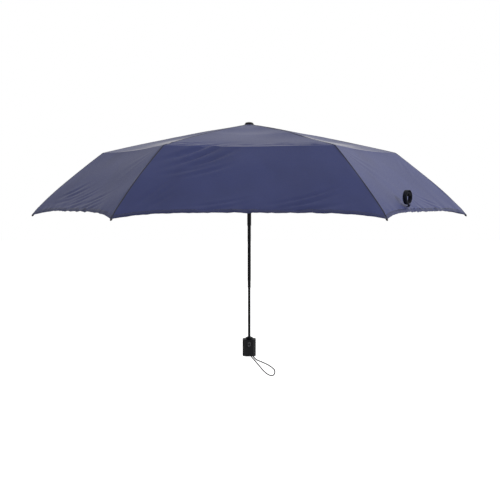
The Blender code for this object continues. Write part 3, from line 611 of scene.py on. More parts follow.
def seam_shape(fold):
    """For each rib, a low bead over the seam joined to a flat tape below it."""
    points = whole_sheet(fold)[3:]
    normals = grid_normals(points)
    slim = 1 - (1 - FOLDED_TRIM) * fold
    shapes = []
    for rib in range(RIBS):
        c = rib * COLUMNS
        here = points[:, c]
        up = unit(normals[:, c - 1] + normals[:, c + 1] + normals[:, c])
        section = []
        for width, height in seam_section():
            beside = points[:, c - 1 if width < 0 else c + 1] - here
            reach = np.linalg.norm(beside, axis=-1, keepdims=True)
            step = np.minimum(abs(width), reach) / reach
            section.append(here + beside * step + up * height * slim)
        shapes.append(np.stack(section, axis=1))
    return np.stack(shapes)


def seam_section():
    """The outline across a seam, as (sideways, up) points: the bead above, the tape below."""
    bead = [(SEAM_HALF * cos(a), SEAM_HEIGHT * sin(a)) for a in np.linspace(0, pi, 7)]
    tape = [
        (-TAPE_HALF, -TAPE_DEPTH / 2),
        (-TAPE_HALF, -TAPE_DEPTH * 1.6),
        (0.0, -TAPE_DEPTH * 2.2),
        (TAPE_HALF, -TAPE_DEPTH * 1.6),
        (TAPE_HALF, -TAPE_DEPTH / 2),
    ]
    return bead + tape


def build_seams(material):
    """The six felled seams over the ribs."""
    shape = seam_shape(0)
    ribs, rows, columns = shape.shape[:3]
    faces = []
    for rib in range(ribs):
        faces += strip_faces(rows, columns, rib * rows * columns)
    obj = make_object("canopy_seams", shape, faces)
    follow_fold(obj, seam_shape)
    finish_piece(obj, "canopy_hub", "canopy_fabric", material)


HEM_WIDTH = 8 * MM
HEM_ROLL = 0.45 * MM


def hem_shape(fold):
    """The folded hem: a band under the sheet's edge, joined to a small roll round the edge."""
    points = whole_sheet(fold)[-4:]
    edge = points[-1]
    normals = grid_normals(points)[-1]
    inward = unit(points[-2] - edge)
    slim = 1 - (1 - FOLDED_TRIM) * fold
    section = [edge + inward * along + normals * up * slim for along, up in hem_section()]
    return np.stack(section)


def hem_section():
    """The outline across the hem, as (inward, up) points."""
    roll = []
    for a in np.linspace(pi / 2, 3 * pi / 2, 6):
        roll.append((HEM_ROLL * cos(a), HEM_ROLL * 1.3 * sin(a) - 0.1 * MM))
    return [
        (HEM_WIDTH, 0.25 * MM),
        (HEM_WIDTH / 2, 0.3 * MM),
        *roll,
        (HEM_WIDTH / 2, -0.6 * MM),
        (HEM_WIDTH, -0.55 * MM),
    ]


def build_hem(material):
    """The hem all round the canopy."""
    shape = hem_shape(0)
    rows, columns = shape.shape[:2]
    obj = make_object("canopy_hem", shape, grid_faces(rows, columns, True, True))
    lengths = np.full(rows, END_LENGTH)
    point_vectors(obj.data, "place", cloth_place(shape, lengths))
    inward = np.array([along for along, _ in hem_section()])
    hem = np.tile(inward[:, None], (1, columns))
    point_vectors(obj.data, "hem", np.stack([hem, hem, hem], -1))
    follow_fold(obj, hem_shape)
    finish_piece(obj, "canopy_hub", "canopy_fabric", material)


# ---------------- closing strap

STRAP_GORE = 5
STRAP_STEPS = 150
STRAP_CLOTH = 1.0 * MM
STRAP_EDGE = 0.25 * MM
STRAP_TRIM = 0.9 * MM
STRAP_STEP = 1.3 * MM
PATCH_START = 135
PATCH_TRIM = 1.6 * MM
PATCH_CLOTH = 0.7 * MM

# The roll: how its inner turns shrink, where they come to rest and how it is squashed and turned.
COIL_TURNS = 1.7
COIL_SHRINK = 5.0 * MM
COIL_REST = (-0.465, -0.403)
COIL_SQUASH = 0.82
COIL_TWIST = radians(-10)

# The tail between the sewn end and the roll, and the band round the folded canopy.
TAIL_STEPS = 15
TAIL_RUN = 22 * MM
TAIL_NARROW = 0.35
BAND_CLEARANCE = 0.8 * MM
BAND_TURNS = 1.12
BAND_LAP = 1.3 * MM
BAND_REACH = 8 * MM


def strap_place():
    """The strap's middle at rest, and its outer radius and half width, from its CAD ring."""
    low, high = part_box("closure_strap")
    centre = np.array((low + high) / 2)
    radius = (high.z - low.z) / 2
    outward, sideways = gore_axes(STRAP_GORE)
    half = ((high.x - low.x) / 2 - abs(sideways[0]) * radius) / abs(outward[0])
    return centre, radius, half - STRAP_TRIM


def sheet_frame(length, share, fold):
    """The sheet's point in the strap's gore, with its directions sideways, down and out."""
    near = np.array([-1, 0, 1])
    grid = np.tile((length + 2 * MM * near)[:, None], (1, 3))
    shares = share + 0.004 * near
    points = gore_points(STRAP_GORE, grid, shares, fold)
    side = unit(points[1, 2] - points[1, 0])
    down = unit(points[2, 1] - points[0, 1])
    out = unit(np.cross(down, side))
    side = unit(np.cross(out, down))
    return points[1, 1], np.stack([side, down, out])


def strap_anchor():
    """The length along the rib and the share across the gore where the strap is sewn on."""
    centre, _, half = strap_place()
    outward, sideways = gore_axes(STRAP_GORE)
    radial = (centre @ outward - half) / APOTHEM
    lengths = np.linspace(KNEE_LENGTH, END_LENGTH, 200)
    length = float(np.interp(radial, rib_line(lengths, 0.0)[:, 0], lengths))
    share = 0.5 + (centre @ sideways + TAIL_RUN) / (radial * CHORD)
    return length, share


def hermite(t, start, start_run, end, end_run):
    """A curve between two points with given directions at its ends."""
    t = t[:, None]
    ends = (2 * t ** 3 - 3 * t ** 2 + 1) * start + (3 * t ** 2 - 2 * t ** 3) * end
    return ends + (t ** 3 - 2 * t ** 2 + t) * start_run + (t ** 3 - t ** 2) * end_run


def coil_axes():
    """Horizontal directions of the rolled strap: its axis and across it, turned to the front."""
    outward, sideways = gore_axes(STRAP_GORE)
    c, s = cos(COIL_TWIST), sin(COIL_TWIST)
    return c * outward + s * sideways, c * sideways - s * outward


@lru_cache(maxsize=None)
def coil_frames():
    """The rolled strap at rest: middle line, width direction and inward normal.

    The inner turns are smaller and lie at the bottom of the outer one.
    """
    centre, radius, _ = strap_place()
    outward, sideways = coil_axes()
    up = np.array([0, 0, 1.0])
    anchor, (side, down, out) = sheet_frame(*strap_anchor(), 0.0)
    outer = radius - STRAP_CLOTH / 2
    roll = np.linspace(0, 1, STRAP_STEPS - TAIL_STEPS)
    angle = -pi / 2 - roll * COIL_TURNS * tau
    shrink = COIL_SHRINK * roll
    right = (outer - shrink) * COIL_SQUASH * np.cos(angle) + shrink * COIL_REST[0]
    above = (outer - shrink) * np.sin(angle) + shrink * COIL_REST[1]
    ring = centre + right[:, None] * sideways + above[:, None] * up
    t = np.linspace(0, 1, TAIL_STEPS, endpoint=False)
    start = anchor + out * STRAP_CLOTH * 0.7
    tail = hermite(t, start, -side * TAIL_RUN, centre - up * outer, -sideways * TAIL_RUN * 1.4)
    line = np.concatenate([tail, ring])
    ease = np.concatenate([smooth(t, 0.15, 1.0), np.ones(len(ring))])[:, None]
    width = unit(down * (1 - ease) + outward * ease)
    tangent = unit(np.gradient(line, axis=0))
    normal = unit(np.cross(tangent, width))
    return line, unit(np.cross(normal, tangent)), normal


def moved_with_sheet(points, fold):
    """Points near the strap's anchor, carried rigidly with the sheet from rest to a fold share."""
    start, open_axes = sheet_frame(*strap_anchor(), 0.0)
    now, axes = sheet_frame(*strap_anchor(), fold)
    return now + ((points - start) @ open_axes.T) @ axes


@lru_cache(maxsize=None)
def band_frames():
    """The strap closed round the folded canopy: middle line, width direction, inward normal."""
    point, _ = sheet_frame(*strap_anchor(), 1.0)
    cloth = whole_sheet(1.0).reshape(-1, 3)
    near = cloth[np.abs(cloth[:, 2] - point[2]) < BAND_REACH]
    radius = np.hypot(near[:, 0], near[:, 1]).max() + BAND_CLEARANCE
    s = np.linspace(0, 1, STRAP_STEPS)
    angle = atan2(point[1], point[0]) + s * BAND_TURNS * tau
    reach = radius + BAND_LAP * smooth(s, 0.72, 0.92)
    out = np.stack([np.cos(angle), np.sin(angle), np.zeros_like(s)], -1)
    line = out * reach[:, None]
    line[:, 2] = point[2]
    width = np.tile([0.0, 0.0, -1.0], (STRAP_STEPS, 1))
    return line, width, -out


def tail_taper():
    """The strap's share of its full width, from the narrow sewn end to the roll."""
    grow = smooth(np.arange(STRAP_STEPS) / TAIL_STEPS, 0.0, 1.3)
    return (TAIL_NARROW + (1 - TAIL_NARROW) * grow)[:, None]


def ribbon(line, width, normal, half, thickness, lift=0.0):
    """The rounded section of a ribbon swept along its middle line."""
    edge, top, side = half - STRAP_EDGE, thickness / 2, thickness / 6
    outline = [
        (-edge, top), (0, top), (edge, top), (half, side), (half, -side),
        (edge, -top), (0, -top), (-edge, -top), (-half, -side), (-half, side),
    ]
    return np.stack([line + width * w + normal * (h + lift) for w, h in outline], axis=1)


def strap_shape(fold, part=slice(None), trim=0.0, thickness=STRAP_CLOTH, lift=0.0):
    """A stretch of the strap at a share of the fold."""
    half = strap_place()[2] - trim
    frames = band_frames() if fold == 1 else coil_frames()
    line, width, normal = (values[part] for values in frames)
    if fold < 1:
        width = width * tail_taper()[part]
    points = ribbon(line, width, normal, half, thickness, lift)
    if 0 < fold < 1:
        points = moved_with_sheet(points, fold)
    return points


def build_strap(ribbon_material, patch_material):
    """The closing strap, rolled up while the umbrella is open, and its fastening patch."""
    end = slice(PATCH_START, STRAP_STEPS - 2)

    def patch(fold):
        lift = STRAP_CLOTH * (-0.85 if fold == 1 else 0.85)
        return strap_shape(fold, end, PATCH_TRIM, PATCH_CLOTH, lift)

    for name, shape, material, node, slot in (
        ("strap_ribbon", strap_shape, ribbon_material, "closure_strap", "strap_fabric"),
        ("strap_patch", patch, patch_material, "strap_fastener", "black_plastic"),
    ):
        points = shape(0)
        rows, columns = points.shape[:2]
        obj = make_object(name, points, strip_faces(rows, columns))
        along = np.tile(np.arange(rows)[:, None] * STRAP_STEP, (1, columns))
        across = np.tile(np.linspace(-1, 1, columns)[None, :], (rows, 1))
        point_vectors(obj.data, "place", np.stack([along, across, across], -1))
        follow_fold(obj, shape)
        finish_piece(obj, "canopy_hub", slot, material, node)


# ---------------- cord, ties and small parts


def tube(name, path, radii, steps, closed=False):
    """A round tube along a path, with one radius for each point or for each of its vertices."""
    path = np.asarray(path, float)
    ahead = np.roll(path, -1, 0) - np.roll(path, 1, 0) if closed else np.gradient(path, axis=0)
    tangents = unit(ahead)
    normal = unit(np.cross(tangents[0], [0.31, 0.9, 0.17]))
    angles = np.linspace(0, tau, steps, endpoint=False)[:, None]
    rings = []
    for point, tangent, radius in zip(path, tangents, radii):
        normal = unit(normal - tangent * (normal @ tangent))
        around = np.cos(angles) * normal + np.sin(angles) * np.cross(tangent, normal)
        rings.append(point + np.broadcast_to(radius, (steps,))[:, None] * around)
    faces = grid_faces(len(path), steps, close_rows=closed, close_columns=True)
    if not closed:
        faces.append(tuple(reversed(range(steps))))
        faces.append(tuple((len(path) - 1) * steps + i for i in range(steps)))
    return make_object(name, np.array(rings), faces)


def smooth_closed(points, count):
    """A closed Catmull-Rom curve through points, evened out to a number of steps."""
    points = np.asarray(points, float)
    dense = []
    for i in range(len(points)):
        a, b, c, d = (points[(i + k - 1) % len(points)] for k in range(4))
        for t in np.linspace(0, 1, 24, endpoint=False):
            linear, square, cube = (c - a) * t, (2 * a - 5 * b + 4 * c - d) * t ** 2, t ** 3
            dense.append((2 * b + linear + square + (3 * b - a - 3 * c + d) * cube) / 2)
    dense = np.array(dense)
    steps = np.linalg.norm(np.roll(dense, -1, 0) - dense, axis=1)
    distance = np.concatenate([[0], np.cumsum(steps)])
    wanted = np.linspace(0, distance[-1], count, endpoint=False)
    looped = np.vstack([dense, dense[:1]])
    return np.stack([np.interp(wanted, distance, looped[:, k]) for k in range(3)], -1), distance[-1]


CORD_RADIUS = 1.2 * MM
CORD_STEPS = 420
CORD_SIDES = 16
CORD_PIN = np.array(JOINTS["wrist_loop_swing"]["pos_m"])
BRAID_STRANDS = 4
BRAID_PITCH = 5.2 * MM
BRAID_BODY = 1.02
BRAID_RISE = 0.07

# The loop below the grip, from its right side round to its left: shares of its width to the right,
# millimetres to the back and shares of its drop.
CORD_LOOP = (
    (0.06, 0, 0.03), (0.20, 1, 0.21), (0.46, 1.5, 0.345), (0.75, 1, 0.51),
    (0.96, 0, 0.70), (1.0, -1, 0.87), (0.913, -2, 1.0), (0.73, -2.5, 0.97),
    (0.52, -2, 0.78), (0.31, -1.5, 0.5), (0.115, -0.8, 0.235), (-0.03, 0, 0.03),
)


def cord_line():
    """Knots of the wrist cord: round its pin, through the end cap and out into a drop shape."""
    low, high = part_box("wrist_cord")
    x, _, z = CORD_PIN
    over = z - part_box("cord_pin")[0].z + CORD_RADIUS + 0.3 * MM
    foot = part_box("handle_end_cap")[0].z
    waist = (z + foot) / 2 + 1 * MM
    width, drop = high.x - CORD_RADIUS - x, foot - low.z - CORD_RADIUS
    loop = [(x + right * width, back * MM, foot - down * drop) for right, back, down in CORD_LOOP]
    start = [(x, 0, z + over), (x + over, 0, z), (x + over, 0, waist)]
    return start + loop + [(x - over, 0, waist), (x - over, 0, z)]


def build_cord(material):
    """The braided wrist cord, its strands standing a little proud of each other."""
    path, length = smooth_closed(cord_line(), CORD_STEPS)
    turns = round(length / BRAID_PITCH)
    angles = np.linspace(0, tau, CORD_SIDES, endpoint=False)
    radii = []
    for i in range(CORD_STEPS):
        phase = tau * turns * i / CORD_STEPS
        right = np.cos(BRAID_STRANDS * angles + phase)
        left = np.cos(BRAID_STRANDS * angles - phase)
        radii.append(CORD_RADIUS * (BRAID_BODY + BRAID_RISE * np.maximum(right, left)))
    obj = tube("wrist_cord_braid", path, radii, CORD_SIDES, closed=True)
    finish_piece(obj, "wrist_loop", "cord", material, "wrist_cord")


def at_azimuth(point, azimuth, sideways=0.0):
    """A (radial, up) point turned to an azimuth round the shaft."""
    c, s = cos(azimuth), sin(azimuth)
    return np.array([point[0] * c - sideways * s, point[0] * s + sideways * c, point[1]])


TIE_WIRE = 0.35 * MM
TIE_RADIUS = 2.6 * MM

# Each rib's ties: length along the rib, distance to its side and the section that carries them.
TIES = (
    (TOP_LENGTH * 0.78, 0.0, "top_rib"),
    (TOP_LENGTH + MIDDLE_LENGTH * 0.55, 3.1 * MM, "middle_rib"),
    (KNEE_LENGTH + 40 * MM, 0.0, "tip_rib"),
    (KNEE_LENGTH + 120 * MM, 0.0, "tip_rib"),
)


def tie_path(length, azimuth, lane):
    """Two turns of thread round a rib at a length, standing across the rib."""
    centre = rib_centre(length, 0.0)
    ahead = unit(rib_centre(length + 1 * MM, 0.0) - centre)
    up = np.array([-ahead[1], ahead[0]])
    path = []
    for a in np.linspace(0, 4 * pi, 48, endpoint=False):
        shift = ahead * 0.5 * MM * cos(a / 2)
        middle = centre + shift + up * (TIE_RADIUS * 0.95 * sin(a) + 0.35 * MM)
        path.append(at_azimuth(middle, azimuth, lane + (TIE_RADIUS - 0.4 * MM) * cos(a)))
    return path


def build_ties(material):
    """Thread ties that hold the cloth to each rib."""
    for rib in range(RIBS):
        for i, (length, lane, section) in enumerate(TIES):
            path = tie_path(length, rib * SECTOR, lane)
            name = f"rib_tie_{rib + 1}_{i + 1}"
            obj = tube(name, path, [TIE_WIRE] * len(path), 6, closed=True)
            finish_piece(obj, f"{section}_{rib + 1}", "canopy_fabric", material)


# A tip sleeve's outline: millimetres from the rib's end, and radius in millimetres.
SLEEVE_OUTLINE = (
    (-19, 1.05), (-18, 1.55), (-12, 1.6), (-11.4, 1.35), (-10.6, 1.35), (-10, 1.65),
    (-5, 1.9), (-4.4, 1.6), (-3.4, 1.6), (-2.8, 2.0), (-1.2, 2.1), (-0.4, 1.7),
)


def build_tip_sleeves(material):
    """The moulded sleeve at each rib's end that the canopy's corner is sewn to."""
    end = KNEE_LENGTH + TIP_LENGTH
    centres = [rib_centre(end + place * MM, 0.0) for place, _ in SLEEVE_OUTLINE]
    radii = [radius * MM for _, radius in SLEEVE_OUTLINE]
    for rib in range(RIBS):
        path = [at_azimuth(centre, rib * SECTOR) for centre in centres]
        obj = tube(f"tip_sleeve_{rib + 1}", path, radii, 14)
        finish_piece(obj, f"tip_rib_{rib + 1}", "tip_rib_black", material)


# The button's face: shares of its half size from the rim to the middle, and millimetres outward.
BUTTON_PROFILE = (
    (1.0, -0.25), (1.0, 0.2), (0.95, 0.6), (0.87, 0.85), (0.79, 0.85),
    (0.68, 0.55), (0.56, 0.1), (0.42, -0.3), (0.24, -0.55), (0.0, -0.6),
)
BUTTON_STEPS = 40
BUTTON_RIM_RINGS = 4
BUTTON_MARGIN = 0.25 * MM


def build_button_face(rim, middle):
    """The dished face of the release button: a rounded rim round a deep thumb dimple."""
    low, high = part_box("release_button")
    x, z = (low.x + high.x) / 2, (low.z + high.z) / 2
    half_x, half_z = high.x - x - BUTTON_MARGIN, high.z - z - BUTTON_MARGIN
    points = []
    for share, rise in BUTTON_PROFILE[:-1]:
        for a in np.linspace(0, tau, BUTTON_STEPS, endpoint=False):
            across, up = half_x * share * cos(a), half_z * share * sin(a)
            points.append((x + across, low.y - rise * MM, z + up))
    last = len(points) - BUTTON_STEPS
    points.append((x, low.y - BUTTON_PROFILE[-1][1] * MM, z))
    faces = grid_faces(len(BUTTON_PROFILE) - 1, BUTTON_STEPS, close_columns=True)
    for i in range(BUTTON_STEPS):
        faces.append((last + i, len(points) - 1, last + (i + 1) % BUTTON_STEPS))
    faces.append(tuple(reversed(range(BUTTON_STEPS))))
    obj = make_object("button_face", points, faces)
    finish_piece(obj, "button", "button_plastic", rim)
    obj.data.materials.append(middle)
    dimple = range(BUTTON_RIM_RINGS * BUTTON_STEPS, len(faces) - 1)
    for polygon in obj.data.polygons:
        polygon.material_index = int(polygon.index in dimple)


# ---------------- materials


class Graph:
    """A node tree with short names for the nodes used here."""

    def __init__(self, tree):
        self.nodes, self.links = tree.nodes, tree.links

    def put(self, socket, value):
        """Connect an output to a socket, or set the socket to a plain value."""
        if isinstance(value, bpy.types.NodeSocket):
            self.links.new(value, socket)
        else:
            socket.default_value = value

    def add(self, kind, inputs=None, **settings):
        """A new node, with its inputs given by name or number."""
        node = self.nodes.new(kind)
        for name, value in settings.items():
            setattr(node, name, value)
        for key, value in (inputs or {}).items():
            self.put(node.inputs[key], value)
        return node

    def math(self, operation, first, second=0.0):
        inputs = {0: first, 1: second}
        return self.add("ShaderNodeMath", inputs, operation=operation).outputs["Value"]

    def times(self, first, second):
        return self.math("MULTIPLY", first, second)

    def vector(self, operation, first, second):
        inputs = {0: first, 1: second}
        return self.add("ShaderNodeVectorMath", inputs, operation=operation).outputs


class Look(Graph):
    """A procedural material."""

    def __init__(self, name):
        self.material = bpy.data.materials.new(name)
        self.material.use_nodes = True
        super().__init__(self.material.node_tree)
        self.shader = self.nodes["Principled BSDF"]

    def set(self, **inputs):
        """Set inputs of the shader; an underscore in a name stands for a space."""
        for name, value in inputs.items():
            self.put(self.shader.inputs[name.replace("_", " ")], value)

    def finish(self, height, depth, strength, **inputs):
        """Set inputs of the shader and its bump, and hand over the material."""
        bump = {"Height": height, "Distance": depth, "Strength": strength}
        self.set(Normal=self.add("ShaderNodeBump", bump).outputs["Normal"], **inputs)
        return self.material

    def place(self, name="place"):
        return self.add("ShaderNodeAttribute", attribute_name=name).outputs["Vector"]

    def object_place(self):
        return self.add("ShaderNodeTexCoord").outputs["Object"]

    def split(self, vector):
        node = self.add("ShaderNodeSeparateXYZ", {"Vector": vector})
        return node.outputs["X"], node.outputs["Y"], node.outputs["Z"]

    def noise(self, vector, scale, detail=3.0, roughness=0.5):
        inputs = {"Vector": vector, "Scale": scale, "Detail": detail, "Roughness": roughness}
        return self.add("ShaderNodeTexNoise", inputs).outputs["Fac"]

    def ramp(self, value, low, high, start=0.0, end=1.0):
        inputs = {"Value": value, "From Min": low, "From Max": high, "To Min": start, "To Max": end}
        node = self.add("ShaderNodeMapRange", inputs, interpolation_type="SMOOTHSTEP")
        return node.outputs["Result"]

    def mix(self, share, first, second):
        inputs = {"Factor": share, 6: first, 7: second}
        return self.add("ShaderNodeMix", inputs, data_type="RGBA").outputs[2]

    def mottle(self, value, first, second):
        """Two colours mixed by a noise."""
        return self.mix(self.ramp(value, 0.3, 0.7), first, second)

    def wave(self, value, period):
        """A sine from -1 to 1 of a length."""
        return self.math("SINE", self.times(value, tau / period))

    def edges(self, radius):
        """1 on convex edges and 0 on flat faces."""
        soft = self.add("ShaderNodeBevel", {"Radius": radius}, samples=4).outputs["Normal"]
        flat = self.add("ShaderNodeNewGeometry").outputs["Normal"]
        return self.ramp(self.vector("DOT_PRODUCT", soft, flat)["Value"], 0.985, 0.9)


def rgb(red, green, blue):
    return (red, green, blue, 1.0)


WEAVE_PITCH = 0.9 * MM
STITCH_PITCH = 3.2 * MM
STITCH_LINE = 6.6 * MM
NAVY = rgb(0.034, 0.046, 0.172)
NAVY_DARK = rgb(0.027, 0.037, 0.142)
NAVY_INSIDE = rgb(0.020, 0.027, 0.090)
SEAM_NAVY = rgb(0.012, 0.015, 0.040)
SEAM_DARK = rgb(0.008, 0.010, 0.026)
SEAM_LINE = rgb(0.008, 0.01, 0.022)
HEM_DARK = rgb(0.018, 0.023, 0.085)
STITCH = rgb(0.02, 0.024, 0.06)
# Pale grey of the painted reflection on cloth that is seen edge on.
PAINTED_EDGE_ON_REFLECTION = rgb(0.50, 0.49, 0.53)
RIBBON_STITCH = rgb(0.03, 0.033, 0.06)
BLACK = rgb(0.006, 0.006, 0.008)
SOFT_BLACK = rgb(0.011, 0.011, 0.014)
WORN_PLASTIC = rgb(0.09, 0.09, 0.095)
WORN_METAL = rgb(0.30, 0.30, 0.31)


def sewn_marks(look, base, height, x, seam, dark):
    """The colour and height of cloth with its seams, its doubled hem and the hem's stitches."""
    base = look.mix(look.times(look.ramp(seam, 2.4 * MM, 1.2 * MM), 0.85), base, SEAM_LINE)
    edge = look.split(look.place("hem"))[0]
    off_line = look.math("ABSOLUTE", look.math("SUBTRACT", edge, STITCH_LINE))
    dash = look.ramp(look.wave(x, STITCH_PITCH), -0.35, -0.1)
    stitch = look.times(look.ramp(off_line, 0.9 * MM, 0.3 * MM), dash)
    base = look.mix(look.times(stitch, 0.6), base, STITCH)
    base = look.mix(look.times(look.ramp(edge, 9 * MM, 8 * MM), 0.22), base, dark)
    return base, look.math("ADD", height, look.times(stitch, -1.2))


def cloth_look(name, colour, dark, sheen, sewn, painted_reflection_strength):
    """Tightly woven polyester: fine weave, soft sheen, and a painted reflection that lightens its
    colour where it is seen edge on.
    """
    look = Look(name)
    place = look.place()
    x, y, seam = look.split(place)
    broad = look.noise(place, 9.0, 4.0)
    fine = look.noise(place, 420.0, 2.0)
    tone = look.math("ADD", look.times(broad, 0.8), look.times(fine, 0.2))
    base = look.mottle(tone, dark, colour)
    crossing = look.times(look.wave(x, WEAVE_PITCH), look.wave(y, WEAVE_PITCH))
    weave = look.ramp(crossing, -1.0, 1.0)
    base = look.mix(look.times(weave, 0.12), base, dark)
    height = look.times(weave, 0.35)
    if sewn:
        base, height = sewn_marks(look, base, height, x, seam, dark)
    # Painted reflection: the colour is lightened toward pale grey where the cloth is seen edge on.
    # It is weak over a broad range and strong near grazing, and the strong part is kept off the
    # seams.
    facing = look.add("ShaderNodeLayerWeight").outputs["Facing"]
    soft = look.times(look.ramp(facing, 0.68, 1.0), 0.2 * painted_reflection_strength)
    painted_grazing_glint = look.times(look.ramp(facing, 0.93, 0.99), 0.6 * painted_reflection_strength)
    painted_grazing_glint = look.times(painted_grazing_glint, look.ramp(seam, 4 * MM, 12 * MM))
    base = look.mix(look.math("ADD", soft, painted_grazing_glint), base, PAINTED_EDGE_ON_REFLECTION)
    look.set(Sheen_Weight=sheen, Sheen_Roughness=0.35, Sheen_Tint=rgb(0.8, 0.82, 1.0))
    roughness = look.ramp(fine, 0.2, 0.8, 0.5, 0.66)
    return look.finish(height, 0.06 * MM, 0.35, Base_Color=base, Roughness=roughness)


def ribbon_look(name, colour, light):
    """Ribbed ribbon: fine cross ribs, and a row of stitches along each edge."""
    look = Look(name)
    along, across, _ = look.split(look.place())
    ribs = look.wave(along, 1.1 * MM)
    edge = look.math("ABSOLUTE", look.math("SUBTRACT", look.math("ABSOLUTE", across), 0.62))
    dash = look.ramp(look.wave(along, 3 * MM), -0.3, 0.0)
    stitch = look.times(look.ramp(edge, 0.12, 0.05), dash)
    tone = look.noise(look.object_place(), 260.0, 3.0)
    base = look.mottle(tone, colour, light)
    base = look.mix(look.times(stitch, 0.5), base, RIBBON_STITCH)
    look.set(Roughness=look.ramp(tone, 0.3, 0.7, 0.55, 0.75), Specular_IOR_Level=0.3)
    return look.finish(look.math("ADD", ribs, stitch), 0.08 * MM, 0.5, Base_Color=base)


def plastic_look(name, colour, light, roughness):
    """Moulded plastic: fine grain, uneven gloss and edges rubbed a little lighter."""
    look = Look(name)
    place = look.object_place()
    fine = look.noise(place, 1100.0, 2.0)
    broad = look.noise(place, 55.0, 4.0)
    worn = look.times(look.edges(0.5 * MM), look.ramp(broad, 0.35, 0.7))
    base = look.mix(look.ramp(broad, 0.3, 0.75, 0.0, 0.5), colour, light)
    base = look.mix(look.times(worn, 0.5), base, WORN_PLASTIC)
    gloss = look.ramp(broad, 0.3, 0.7, roughness, roughness + 0.12)
    look.set(Roughness=gloss, Specular_IOR_Level=0.3)
    return look.finish(fine, 0.05 * MM, 0.3, Base_Color=base)


def metal_look(name, colour, light, roughness, metallic, stretch=(1.0, 1.0, 1.0)):
    """Drawn metal: streaks along the part, uneven gloss and bright rubbed edges."""
    look = Look(name)
    place = look.object_place()
    drawn = look.vector("MULTIPLY", place, stretch)["Vector"]
    streak = look.noise(drawn, 600.0, 3.0, 0.6)
    broad = look.noise(place, 40.0, 4.0)
    base = look.mottle(streak, colour, light)
    worn = look.times(look.edges(0.35 * MM), look.ramp(broad, 0.35, 0.65))
    base = look.mix(look.times(worn, 0.6), base, WORN_METAL)
    gloss = look.ramp(broad, 0.3, 0.7, roughness, roughness + 0.15)
    look.set(Roughness=gloss, Metallic=metallic)
    return look.finish(streak, 0.03 * MM, 0.2, Base_Color=base)


def cord_look(name, colour, light):
    """Braided cord: crossing strands and a little fuzz."""
    look = Look(name)
    place = look.object_place()
    strand = look.noise(place, 900.0, 3.0)
    broad = look.noise(place, 60.0, 2.0)
    look.set(Roughness=look.ramp(broad, 0.3, 0.7, 0.7, 0.85), Specular_IOR_Level=0.25)
    base = look.mottle(strand, colour, light)
    return look.finish(strand, 0.08 * MM, 0.5, Base_Color=base)


def hook_look(name):
    """Hook tape: a dense field of small hooks."""
    look = Look(name)
    place = look.object_place()
    dots = look.add("ShaderNodeTexVoronoi", {"Vector": place, "Scale": 1400.0}).outputs["Distance"]
    broad = look.noise(place, 200.0, 2.0)
    base = look.mix(look.ramp(dots, 0.1, 0.6), rgb(0.03, 0.031, 0.036), rgb(0.008, 0.008, 0.01))
    look.set(Roughness=look.ramp(broad, 0.3, 0.7, 0.6, 0.8))
    return look.finish(dots, 0.25 * MM, 0.6, Base_Color=base)


# What each look is made with, by its name.
METALS = {
    "rib_steel": (rgb(0.20, 0.205, 0.215), rgb(0.34, 0.345, 0.36), 0.3, 0.9),
    "tip_rib_black": (rgb(0.012, 0.012, 0.013), rgb(0.03, 0.03, 0.032), 0.35, 0.5),
    "shaft_black": (rgb(0.008, 0.008, 0.009), rgb(0.02, 0.02, 0.022), 0.3, 0.6, (1.0, 1.0, 0.03)),
    "spring_steel": (rgb(0.35, 0.35, 0.36), rgb(0.5, 0.5, 0.5), 0.25, 1.0),
    "button_rim": (rgb(0.30, 0.30, 0.32), rgb(0.42, 0.42, 0.44), 0.12, 0.7),
}
PLASTICS = {
    "black_plastic": (BLACK, SOFT_BLACK, 0.38),
    "button_plastic": (BLACK, SOFT_BLACK, 0.3),
    "grey_plastic": (rgb(0.07, 0.07, 0.075), rgb(0.1, 0.1, 0.105), 0.45),
}
# The last value of each cloth is the strength of its painted edge-on reflection.
CLOTHS = {
    "canopy_fabric": (NAVY, NAVY_DARK, 0.04, True, 1.0),
    "canopy_inside": (NAVY_INSIDE, NAVY_DARK, 0.03, False, 0.3),
    "canopy_seam": (SEAM_NAVY, SEAM_DARK, 0.0, False, 0.0),
    "canopy_hem": (NAVY_DARK, HEM_DARK, 0.0, True, 0.0),
}
RIBBONS = {"strap_fabric": (rgb(0.006, 0.007, 0.014), rgb(0.010, 0.012, 0.022))}
CORDS = {
    "cord": (rgb(0.006, 0.006, 0.007), rgb(0.016, 0.016, 0.018)),
    "thread": (rgb(0.012, 0.014, 0.03), rgb(0.03, 0.034, 0.07)),
}
BEVEL_WIDTHS = {"black_plastic": 0.25 * MM, "button_plastic": 0.3 * MM, "grey_plastic": 0.25 * MM}


def make_looks():
    """All materials, by name."""
    kinds = (
        (metal_look, METALS),
        (plastic_look, PLASTICS),
        (cloth_look, CLOTHS),
        (ribbon_look, RIBBONS),
        (cord_look, CORDS),
    )
    made = {"hook_tape": hook_look("hook_tape")}
    for make, table in kinds:
        for name, values in table.items():
            made[name] = make(name, *values)
    return made


def dress_frame(looks):
    """Give each CAD node its slot's material, and round the hard edges of the plastic ones a
    little.
    """
    for name, obj in frame["nodes"].items():
        obj.data.materials.clear()
        obj.data.materials.append(looks[SLOTS[name]])
        width = BEVEL_WIDTHS.get(SLOTS[name])
        if width:
            bevel = obj.modifiers.new("soft_edges", "BEVEL")
            bevel.width = width
            bevel.segments = 2
            bevel.limit_method = "ANGLE"
            bevel.angle_limit = radians(35)
            bevel.use_clamp_overlap = True


# ---------------- stage

CAMERA_SIDE = 0.0018
CAMERA_DISTANCE = 1.96
CAMERA_HEIGHT = -0.173
CAMERA_AIM = -0.286
CAMERA_LENS = 62.7
LIGHT_LEAN = (0.36, 0.45, 0.36)
LIGHT_LEVEL = 0.48
LIGHT_LEAST = 0.05
FLOOR_SIZE = 40.0
FLOOR_DROP = 0.65
FLOOR_GLOW = 0.8

